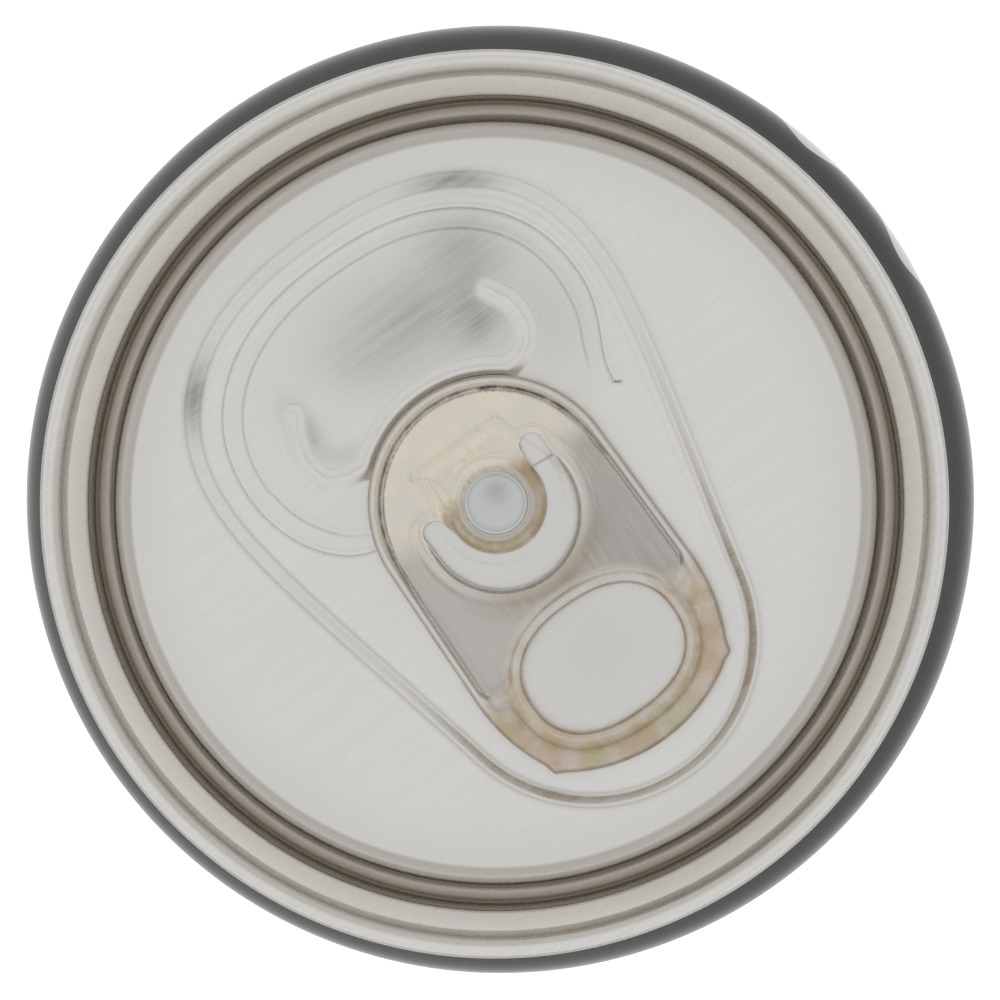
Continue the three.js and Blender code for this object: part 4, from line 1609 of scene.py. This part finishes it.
@dataclass
class Tab:
    """The lift tab: a lever with rolled edges, and the tongue that the rivet holds."""

    sizes: CanSizes
    shoulder_y: float = 9.5
    side_radius: float = 11.6
    tail_radius: float = 10.6
    roll: float = 0.37
    hole_y: float = 11.4
    hole_half: tuple[float, float] = (5.1, 3.8)
    hole_power: float = 2.35
    hem_roll: float = 0.42
    slot_radius: float = 4.6
    slot_centre: tuple[float, float] = (0.1, 0.7)
    leg_radius: float = 0.75
    left_leg: tuple[float, float] = (-3.8, -1.65)
    right_leg: tuple[float, float] = (4.05, -0.6)
    tongue_radius: float = 3.1
    tongue_level: float = 0.33
    fold_y: float = -3.9
    fold_half_width: float = 2.75
    corner: tuple[float, float] = (6.33, 15.45)
    side_turn: float = 26.6
    rivet_hole_radius: float = 1.5
    spacing: float = 0.16

    def __post_init__(self) -> None:
        """Works the outlines out once."""
        self.outline = Line(self.outline_points(), True).resampled(self.spacing)
        hole = superellipse((0.05, self.hole_y), self.hole_half, self.hole_power, 0.0, 360.0, 240)
        self.hole = Line(hole, True).resampled(self.spacing)
        crease = spline([(4.6, -3.7), (3.4, -4.5), (0.9, -5.15), (-2.3, -4.7), (-3.4, -4.1)], 10)
        self.crease = Line(crease, False)
        self.inner_cut, self.outer_cut = self.slot_lines()
        self.slot_edge = Line(self.outer_cut, True)
        self.tongue_edge = Line(self.inner_cut, True)

    def outline_points(self) -> np.ndarray:
        """The tab's outer edge.

        Returns:
            Its points, anticlockwise from the left of the nose.
        """
        s = self.sizes
        centre_x = s.tab_half_width - self.side_radius
        tail_y = s.tail - self.tail_radius
        nose = arc(0.0, 0.0, s.nose, -180.0, 0.0, 90)
        corner_x, corner_y = self.corner
        side = arc(centre_x, self.shoulder_y, self.side_radius, 0.0, self.side_turn, 20)
        tail_start = math.degrees(math.acos((corner_x - 0.35) / self.tail_radius))
        tail = arc(0.0, tail_y, self.tail_radius, tail_start, 180.0 - tail_start, 60)
        turn = filleted([(*side[-1], 0), (corner_x + 0.17, corner_y + 0.07, 0.16), (*tail[0], 0)], 15.0)
        half = np.vstack([side, turn[1:-1]])
        return np.vstack([nose, half, tail, (half * [-1, 1])[::-1]])

    def slot_lines(self) -> tuple[np.ndarray, np.ndarray]:
        """The edge of the tongue and the edge of the opening round it in the lever.

        Returns:
            Two anticlockwise outlines, which run together along the fold.
        """
        left, right, leg = self.left_leg, self.right_leg, self.leg_radius
        cx, cy = self.slot_centre
        fold_left, fold_right = (-self.fold_half_width, self.fold_y), (self.fold_half_width, self.fold_y)
        leg_x, leg_y = leg * 0.75, leg * 0.66
        cut_right = np.array([(right[0] - leg_x, right[1] - leg_y), (2.95, -2.6), fold_right])
        cut_left = np.array([fold_left, (-2.95, -3.0), (left[0] + leg_x, left[1] - leg_y)])
        fold = np.vstack([Line(cut_left, False).resampled(0.12).points[::-1],
                          Line(np.array([fold_left, fold_right]), False).resampled(self.spacing).points,
                          Line(cut_right, False).resampled(0.12).points[::-1]])
        big = arc(cx, cy, self.slot_radius, 0.0, 180.0, 90)
        right_out = arc(*right, leg, -138.6, 0.0, 18)
        left_out = arc(*left, leg, 180.0, 318.6, 18)
        outer = np.vstack([fold[:-1], right_out, big, left_out[:-1]])
        tongue = arc(0.0, 0.0, self.tongue_radius, 4.0, 176.0, 70)
        right_in = arc(*right, leg, -138.6, -180.0, 8)
        left_in = arc(*left, leg, 0.0, -41.4, 8)
        inner = np.vstack([fold[:-1], right_in, tongue, left_in[:-1]])
        return Line(inner, True).points, Line(outer, True).points

    def lever_height(self, places: np.ndarray) -> np.ndarray:
        """The lever's height over the recess floor, away from the tongue.

        Args:
            places: the places, seen from above.

        Returns:
            One height for each place.
        """
        x, y = places.T
        bottom = self.sizes.tab_bottom - self.sizes.floor
        crest = self.sizes.tab_top - self.sizes.floor
        inside = -self.outline.distance(places)
        tail = smooth(y, 8.6, 11.0)
        nose = smooth(y, 1.0, -2.5)
        web = bottom + 0.33 + 0.33 * (1.0 - nose) + 0.30 * tail
        recess = bump(np.abs(x) - 6.2, 3.0) * smooth(y, -2.0, 1.0) * smooth(y, 9.9, 9.0)
        web = web - 0.12 * recess
        reach = 0.80 - 0.22 * smooth(y, -2.0, 3.0) + 1.5 * tail
        fall = smooth(inside, self.roll, reach)
        out = crest + (web - crest) * fall
        out -= 0.07 * bump(inside - reach - 0.02, 0.35) * (1.0 - tail)
        hem = self.hole.distance(places)
        tall = crest - 0.06 + 0.02 * smooth(y, 10.0, 14.0)
        rolled = np.where(hem < self.hem_roll, 1.0, 1.0 - smooth(hem, self.hem_roll, 1.0))
        out = out + (tall - out) * rolled
        out -= 0.10 * bump(hem - 1.02, 0.45) * smooth(y, 9.5, 13.0)
        slot = np.hypot(x - self.slot_centre[0], y - self.slot_centre[1]) - self.slot_radius
        upper = smooth(y, -2.6, 0.8)
        lip = smooth(slot, 0.0, 0.42) - smooth(slot, 0.6, 1.25)
        out += upper * (0.34 * np.clip(lip, 0.0, 1.0) - 0.10 * smooth(slot, 0.25, 0.0))
        leg = self.slot_edge.distance(places)
        out += (1.0 - upper) * 0.10 * bump(leg - 0.3, 0.6)
        dish = bump(np.hypot(x, y + 3.8), 9.5) * nose
        out -= 0.08 * dish
        ridge = self.crease.distance(places)
        behind = smooth(y + 0.09 * x * x, -5.6, -4.2) * smooth(np.abs(x), 5.2, 3.0)
        out -= 0.04 * behind * nose
        out += 0.012 * bump(ridge, 0.7)
        for cx, cy, size, rise in NOSE_DENTS:
            out += rise * bump(np.hypot(x - cx, y - cy), 2 * size)
        return out

    def height(self, places: np.ndarray) -> np.ndarray:
        """The tab's height over the recess floor, tongue and lever together.

        Args:
            places: the places, seen from above.

        Returns:
            One height for each place.
        """
        x, y = places.T
        radius = np.hypot(x, y)
        tongue = self.tongue_level + 0.05 * bump(radius - 2.62, 0.7) - 0.14 * smooth(radius, 2.78, 3.12)
        tongue += 0.03 * bump(radius - 2.12, 0.3)
        shoulders = smooth(np.abs(x), 1.95, 2.7) * smooth(y, -0.35, -1.5)
        weight = np.maximum(smooth(y, -2.3, self.fold_y), shoulders)
        weight = np.where(self.slot_edge.distance(places) > -0.02, 1.0, weight)
        return tongue + (self.lever_height(places) - tongue) * weight

    def marks(self, skin: Skin, indices: np.ndarray, places: np.ndarray) -> None:
        """Marks where the tab is stained, tinted or scuffed, and where painted shade darkens it.

        Args:
            skin: the piece that carries the marks.
            indices: the points to mark.
            places: where they are, seen from above.
        """
        x, y = places.T
        radius = np.hypot(x, y)
        inside = -self.outline.distance(places)
        hem = self.hole.distance(places)
        ring = smooth(radius, 2.15, 2.4) * smooth(y, -2.0, -0.6) * (radius < 3.4)
        tail = smooth(y, 8.8, 11.2)
        lower_hem = smooth(hem, 1.7, 0.5) * smooth(y, 6.2, 8.2) * (0.55 + 0.45 * smooth(x, -1.0, 3.0))
        slot = np.hypot(x - self.slot_centre[0], y - self.slot_centre[1]) - self.slot_radius
        low_bead = smooth(slot, 0.0, 0.6) * smooth(slot, 2.4, 1.0) * smooth(y, 3.4, 5.4) * smooth(y, 8.6, 7.2)
        edge = bump(inside - 0.05, 0.26)
        stain = np.clip(1.0 * ring + 0.86 * tail + 0.55 * lower_hem + 0.42 * low_bead + 0.5 * edge, 0.0, 1.0)
        stain *= 1.0 - 0.45 * bump(hem - 0.4, 0.7)
        angle = np.degrees(np.arctan2(y - 7.0, x))
        band = smooth(hem, 0.7, 1.2) * tail
        pinks = bump(angle - 118.0, 34.0) + bump(angle - 52.0, 30.0) + 0.8 * bump(angle - 84.0, 16.0)
        pink = 0.34 * band * pinks
        green = 0.42 * band * (bump(angle - 100.0, 26.0) + 0.8 * bump(angle - 68.0, 20.0))
        cream = 0.9 * smooth(y, 0.5, -2.2) * smooth(inside, 0.75, 0.95) + 0.25 * smooth(y, 4.0, 0.0)
        bearing = np.degrees(np.arctan2(y, x))
        scuff = bump(inside - 0.74, 0.34) * smooth(y, 3.4, -1.0)
        scuff = scuff * (0.6 + 0.6 * bump(bearing + 118.0, 80.0) + 0.5 * bump(bearing + 160.0, 30.0))
        # Painted shade: darker side webs, dark lines along the rolled edges and the hem, a ring round the
        # rivet, a line along the slot's edge, and a little over the whole tab.
        web = smooth(inside, 0.7, 1.0) * smooth(y, -1.6, 0.4) * smooth(y, 10.4, 8.8)
        web = web * smooth(radius, 4.9, 6.2) * smooth(hem, 0.7, 1.4) * (0.7 + 0.3 * smooth(x, 4.0, -2.0))
        lines = 0.6 * bump(inside - 0.03, 0.2) + 0.62 * bump(inside - 0.72, 0.4) * (1.0 - tail)
        lines = lines + 0.5 * bump(hem - 1.05, 0.4) * smooth(y, 9.0, 13.0) + 0.3 * bump(hem - 0.04, 0.2)
        inner = 0.45 * bump(radius - 2.1, 0.5) + 0.5 * bump(slot + 0.02, 0.22) * smooth(y, -1.8, -0.6)
        inner = inner + 0.2 * ring
        shade = np.clip(0.5 * web + 0.08 + lines + inner, 0.0, 1.0)
        tones = {"stain": stain, "pink": pink, "green": green, "cream": cream, "scuff": scuff, "shade": shade}
        for name, values in tones.items():
            skin.mark(name, indices, np.clip(values, 0.0, 1.0))

    def ring(self, skin: Skin, line: Line, outward: float, roll: float, level: np.ndarray, bottom: float,
             tuck: float) -> tuple[np.ndarray, np.ndarray, np.ndarray]:
        """A rolled edge, from its crest out, down, under and back up to the sheet's lower face.

        Args:
            skin: the piece that it belongs to.
            line: the edge seen from above.
            outward: 1 for the outer edge and -1 for a hole's.
            roll: the distance from the edge to the crest.
            level: the crest's height at each point.
            bottom: the height of the roll's underside.
            tuck: how far the sheet runs on under the crest.

        Returns:
            The crest's points seen from above, the upper row's indices and the lower row's.
        """
        normal = edge_normals(line.points, True) * outward
        crest = line.points - normal * roll
        middle, half = (level + bottom) / 2, (level - bottom) / 2
        path = [(roll - roll * math.sin(a), middle + half * math.cos(a))
                for a in np.radians(np.linspace(0.0, 180.0, 19))]
        sheet = self.sizes.tab_sheet
        end = roll + tuck
        path += [
            (end, np.full_like(level, bottom)),
            (end, np.full_like(level, bottom + 0.18)),
            (sheet + 0.5 * (end - sheet), np.full_like(level, bottom + 0.22)),
            (sheet, middle),
            (roll, level - sheet),
        ]
        rows = []
        for depth, height in path:
            flat = line.points - normal * depth
            rows.append(skin.add(np.column_stack([flat, height])))
            self.marks(skin, rows[-1], flat)
        skin.loft(rows)
        return crest, rows[0], rows[-1]

    def build_lever(self, material: bpy.types.Material) -> bpy.types.Object:
        """Makes the lever.

        Args:
            material: its metal.

        Returns:
            The finished piece.
        """
        s = self.sizes
        skin = Skin()
        bottom = s.tab_bottom
        edge_level = np.full(len(self.outline.points), s.tab_top)
        outer, outer_top, outer_low = self.ring(skin, self.outline, 1.0, self.roll, edge_level, bottom, 0.5)
        hem_flat = self.hole.points + edge_normals(self.hole.points, True) * self.hem_roll
        hem_level = s.floor + self.height(hem_flat)
        hem, hem_top, hem_low = self.ring(skin, self.hole, -1.0, self.hem_roll, hem_level, bottom + 0.02,
                                          0.45)
        slot = self.outer_cut
        inner = np.vstack([
            rows_beside(self.outline, [-0.42, -0.48, -0.55, -0.63, -0.72, -0.82, -0.95, -1.1, -1.3]),
            rows_beside(self.hole, [0.5, 0.58, 0.68, 0.8, 0.92, 1.04, 1.18, 1.35]),
            rows_beside(self.slot_edge, [0.08, 0.16, 0.26, 0.36, 0.48, 0.62, 0.8, 1.0, 1.2]),
            grid_of_points((-8.0, -8.0), (8.0, 18.0), 0.24),
        ])
        keep = self.outline.distance(inner) < -self.roll - 0.03
        keep &= self.hole.distance(inner) > self.hem_roll + 0.05
        keep &= self.slot_edge.distance(inner) > 0.05
        inner = thinned(inner[keep], 0.05)
        flat, triangles = triangulated([outer, hem, slot], inner)
        level = s.floor + self.height(flat)
        normals = field_normals(self.height, flat)
        rolled = len(outer) + len(hem)
        web = skin.add(np.column_stack([flat, level])[rolled:], normals[rolled:])
        under = skin.add(np.column_stack([flat, level - s.tab_sheet])[rolled:])
        self.marks(skin, web, flat[rolled:])
        skin.sheet(np.concatenate([outer_top, hem_top, web]), np.concatenate([outer_low, hem_low, under]),
                   triangles)
        skin.strip(under[:len(slot)], web[:len(slot)])
        return skin.made("tab_lever_sheet", material)

    def build_tongue(self, material: bpy.types.Material) -> bpy.types.Object:
        """Makes the tongue, with the neck where the tab folds.

        Args:
            material: its metal.

        Returns:
            The finished piece.
        """
        s = self.sizes
        skin = Skin()
        edge = self.inner_cut
        hole = full_circle(self.rivet_hole_radius, 72)
        rings = [full_circle(radius, int(38 * radius)) for radius in
                 (1.7, 1.95, 2.1, 2.25, 2.4, 2.55, 2.7, 2.8, 2.88, 2.95, 3.02)]
        inner = np.vstack([*rings, grid_of_points((-3.4, -4.0), (3.6, 0.0), 0.2)])
        keep = self.tongue_edge.distance(inner) < -0.04
        keep &= np.hypot(inner[:, 0], inner[:, 1]) > self.rivet_hole_radius + 0.08
        inner = thinned(inner[keep], 0.05)
        flat, triangles = triangulated([edge, hole], inner)
        level = s.floor + self.height(flat)
        top = skin.add(np.column_stack([flat, level]), field_normals(self.height, flat))
        low = skin.add(np.column_stack([flat, np.maximum(level - s.tab_sheet, s.floor + 0.01)]))
        self.marks(skin, top, flat)
        skin.sheet(top, low, triangles)
        rivet_side = slice(len(edge), len(edge) + len(hole))
        skin.strip(low[:len(edge)], top[:len(edge)])
        skin.strip(low[rivet_side], top[rivet_side])
        return skin.made("tab_tongue_sheet", material)


# Seam compound, by Geometry Nodes ------------------------------------------------------------------


@dataclass
class SeamCompound:
    """The ring of sealing compound pressed between the hooks of the seam."""

    sizes: CanSizes
    width: float = 0.12
    depth: float = 1.25
    top_gap: float = 0.03
    steps: int = 192

    def tree(self, material: bpy.types.Material) -> bpy.types.NodeTree:
        """A node tree that sweeps a small upright section round a circle.

        Args:
            material: the ring's material.

        Returns:
            The tree, whose inputs are the ring's radius, width, depth, height and steps.
        """
        tree = bpy.data.node_groups.new("swept_ring", "GeometryNodeTree")
        face = tree.interface
        for label in ("Radius", "Width", "Depth", "Top"):
            face.new_socket(label, in_out="INPUT", socket_type="NodeSocketFloat")
        face.new_socket("Steps", in_out="INPUT", socket_type="NodeSocketInt")
        face.new_socket("Geometry", in_out="OUTPUT", socket_type="NodeSocketGeometry")
        bench = NodeBench(tree)
        inside, outside = bench.node("NodeGroupInput"), bench.node("NodeGroupOutput")
        circle = bench.node("GeometryNodeCurvePrimitiveCircle", mode="RADIUS")
        bench.join(inside.outputs["Radius"], circle.inputs["Radius"])
        bench.join(inside.outputs["Steps"], circle.inputs["Resolution"])
        section = bench.node("GeometryNodeCurvePrimitiveQuadrilateral", mode="RECTANGLE")
        bench.join(inside.outputs["Width"], section.inputs["Width"])
        bench.join(inside.outputs["Depth"], section.inputs["Height"])
        sweep = bench.node("GeometryNodeCurveToMesh")
        bench.join(circle.outputs[0], sweep.inputs["Curve"])
        bench.join(section.outputs[0], sweep.inputs["Profile Curve"])
        lift = bench.node("GeometryNodeTransform")
        place = bench.node("ShaderNodeCombineXYZ")
        half = bench.math("MULTIPLY", inside.outputs["Depth"], 0.5)
        bench.join(bench.math("SUBTRACT", inside.outputs["Top"], half), place.inputs[2])
        bench.join(place.outputs[0], lift.inputs["Translation"])
        bench.join(sweep.outputs[0], lift.inputs["Geometry"])
        real = bench.node("GeometryNodeRealizeInstances")
        paint = bench.node("GeometryNodeSetMaterial")
        paint.inputs["Material"].default_value = material
        bench.join(lift.outputs[0], real.inputs[0])
        bench.join(real.outputs[0], paint.inputs["Geometry"])
        bench.join(paint.outputs[0], outside.inputs[0])
        return tree

    def build(self, material: bpy.types.Material) -> bpy.types.Object:
        """Makes the ring.

        Args:
            material: its material.

        Returns:
            The finished piece.
        """
        s = self.sizes
        tree = self.tree(material)
        holder = bpy.data.objects.new("compound_source", bpy.data.meshes.new("compound_source"))
        bpy.context.scene.collection.objects.link(holder)
        modifier = holder.modifiers.new("ring", "NODES")
        modifier.node_group = tree
        values = {
            "Radius": (s.seam_radius - s.sheet - LAYER_GAP - self.width / 2) * MM,
            "Width": self.width * MM,
            "Depth": self.depth * MM,
            "Top": (s.height - s.sheet - self.top_gap) * MM,
            "Steps": self.steps,
        }
        for item in tree.interface.items_tree:
            if item.in_out == "INPUT":
                modifier[item.identifier] = values[item.name]
        bpy.context.view_layer.update()
        graph = bpy.context.evaluated_depsgraph_get()
        mesh = bpy.data.meshes.new_from_object(holder.evaluated_get(graph))
        bpy.data.objects.remove(holder)
        open_edges = face_outward(mesh)
        if not mesh.materials:
            mesh.materials.append(material)
        piece = bpy.data.objects.new("seam_compound_ring", mesh)
        bpy.context.scene.collection.objects.link(piece)
        LOG.info("%s: %d faces, %d open edges", piece.name, len(mesh.polygons), open_edges)
        return piece


# Studio ------------------------------------------------------------------------------------------


@dataclass
class Studio:
    """The pale floor with its painted pool of light, the soft light and the camera."""

    sizes: CanSizes
    floor_half_width: float = 3.0
    # The painted pool of light on the floor: full glow within the first radius, fading to a faint glow by the
    # second.
    light_pool_radius: float = 0.045
    light_pool_edge: float = 0.15
    camera_distance: float = 850.0
    camera_lean: tuple[float, float] = (-0.0346, -0.001557)
    aim: tuple[float, float] = (-0.451, -0.003)
    view_up: tuple[float, float] = (-0.5750, -0.8182)
    view_width: float = 60.2192
    sensor: float = 36.0

    def floor(self) -> None:
        """A pale floor with a painted pool of light: it glows brightly round the can and only faintly further
        out, and lights the can from below though it is no lamp.
        """
        mesh = bpy.data.meshes.new("floor")
        half = self.floor_half_width
        corners = [(-half, -half, 0), (half, -half, 0), (half, half, 0), (-half, half, 0)]
        mesh.from_pydata(corners, [], [(0, 1, 2, 3)])
        piece = bpy.data.objects.new("floor", mesh)
        bpy.context.scene.collection.objects.link(piece)
        material, bench, shader = blank_material("pale_table_with_light_pool")
        shader.inputs["Base Color"].default_value = (0.6, 0.6, 0.6, 1.0)
        shader.inputs["Roughness"].default_value = 0.9
        shader.inputs["Specular IOR Level"].default_value = 0.1
        # Painted pool of light: the floor's glow is strong close to the can and fades to almost nothing
        # further out.
        reach = bench.node("ShaderNodeVectorMath", operation="LENGTH")
        bench.join(bench.place(), reach.inputs[0])
        painted_light_pool = bench.rise(reach.outputs["Value"], self.light_pool_edge, self.light_pool_radius)
        pool_glow_colour = bench.mix(painted_light_pool, (0.05, 0.05, 0.05, 1.0), (0.84, 0.84, 0.84, 1.0))
        bench.join(pool_glow_colour, shader.inputs["Emission Color"])
        shader.inputs["Emission Strength"].default_value = 1.0
        mesh.materials.append(material)

    def world(self) -> None:
        """A soft sky: bright overhead, dimmer and a little warm towards the horizon."""
        world = bpy.data.worlds.new("studio")
        bpy.context.scene.world = world
        world.use_nodes = True
        bench = NodeBench(world.node_tree)
        back = world.node_tree.nodes["Background"]
        split = bench.node("ShaderNodeSeparateXYZ")
        bench.join(bench.node("ShaderNodeTexCoord").outputs["Generated"], split.inputs[0])
        low = bench.rise(split.outputs[2], 0.0, 0.2)
        high = bench.rise(split.outputs[2], 0.72, 0.97)
        colour = bench.mix(low, (0.86, 0.84, 0.80, 1.0), (0.69, 0.685, 0.67, 1.0))
        colour = bench.mix(high, colour, (0.51, 0.51, 0.503, 1.0))
        bench.join(colour, back.inputs["Color"])
        back.inputs["Strength"].default_value = 1.0

    def lamp(self, name: str, place: tuple[float, float, float], size: float, power: float) -> None:
        """A square soft light that shines at the can's lid.

        Args:
            name: its name.
            place: where it hangs, in metres.
            size: the length of its side, in metres.
            power: its power, in watts.
        """
        data = bpy.data.lights.new(name, "AREA")
        data.size = size
        data.energy = power
        lamp = bpy.data.objects.new(name, data)
        lamp.visible_camera = False
        target = Vector((0.0, 0.0, self.sizes.height * MM))
        lamp.location = place
        lamp.rotation_mode = "QUATERNION"
        lamp.rotation_quaternion = (target - Vector(place)).to_track_quat("-Z", "Y")
        bpy.context.scene.collection.objects.link(lamp)

    def camera(self) -> None:
        """A long lens almost straight above the lid, with the tab's tail pointing down and to the right."""
        reach = self.camera_distance
        up = Vector((*self.view_up, 0.0)).normalized()
        top = self.sizes.height
        aim = Vector((*self.aim, top))
        stand = Vector((reach * self.camera_lean[0], reach * self.camera_lean[1], top + reach))
        back = (stand - aim).normalized()
        side = up.cross(back).normalized()
        data = bpy.data.cameras.new("camera")
        data.sensor_width = self.sensor
        data.lens = (stand - aim).length * self.sensor / self.view_width
        camera = bpy.data.objects.new("camera", data)
        bpy.context.scene.collection.objects.link(camera)
        turn = Matrix((side, back.cross(side), back)).transposed().to_4x4()
        camera.matrix_world = Matrix.Translation(stand * MM) @ turn
        bpy.context.scene.camera = camera

    def build(self) -> None:
        """Sets the studio up."""
        self.floor()
        self.world()
        self.lamp("overhead_softbox", (0.25, 0.15, 2.4), 1.8, 2.0)
        self.camera()
        bpy.context.scene.view_settings.view_transform = "Standard"


# Assembly ----------------------------------------------------------------------------------------


def main() -> None:
    """Builds every piece of the can in order and reports each."""
    logging.basicConfig(level=logging.INFO, format="%(name)s: %(message)s")
    sizes = CanSizes.measured()
    LOG.info("sizes %s", sizes)
    Studio(sizes).build()
    end_metal = MetalFinish("end_aluminium").made()
    tab_metal = MetalFinish("tab_aluminium", light=(0.90, 0.885, 0.86), dark=(0.76, 0.745, 0.72),
                            shade=(0.42, 0.39, 0.36), way=GrainWay.ALONG_Y, stained=True,
                            roughness=0.26).made()
    # The rivet, drawn from the end's own sheet, gets a darker and bluer copy of its metal: painted shade.
    rivet_metal = MetalFinish("rivet_aluminium_shaded", light=(0.76, 0.77, 0.785), dark=(0.72, 0.73, 0.745),
                              roughness=0.34, lines=0.05).made()
    body = CanBody(sizes).build(PrintFinish("can_print").made(sizes.height, sizes.body_radius))
    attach(body, "can")
    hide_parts("can_body")
    pattern = LidPattern(sizes)
    end = CanEnd(sizes, pattern)
    shell = end.build(end_metal)
    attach(shell, "can")
    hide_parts("can_end")
    rivet = end.build_rivet(rivet_metal)
    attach(rivet, "can")
    compound = SeamCompound(sizes).build(CompoundFinish("sealing_compound").made())
    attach(compound, "can")
    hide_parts("seam_compound")
    tear = TearPanel(sizes, pattern).build(end_metal)
    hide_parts("tear_panel")
    sizes.floor * MM
    sizes.floor * MM
    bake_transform(tear)
    tab = Tab(sizes)
    lever = tab.build_lever(tab_metal)
    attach(lever, "tab_lever")
    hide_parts("tab_lever")
    tongue = tab.build_tongue(tab_metal)
    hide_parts("tab_tongue")
    sizes.floor * MM
    sizes.floor * MM
    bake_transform(tongue)


if __name__ == "__main__":
    main()
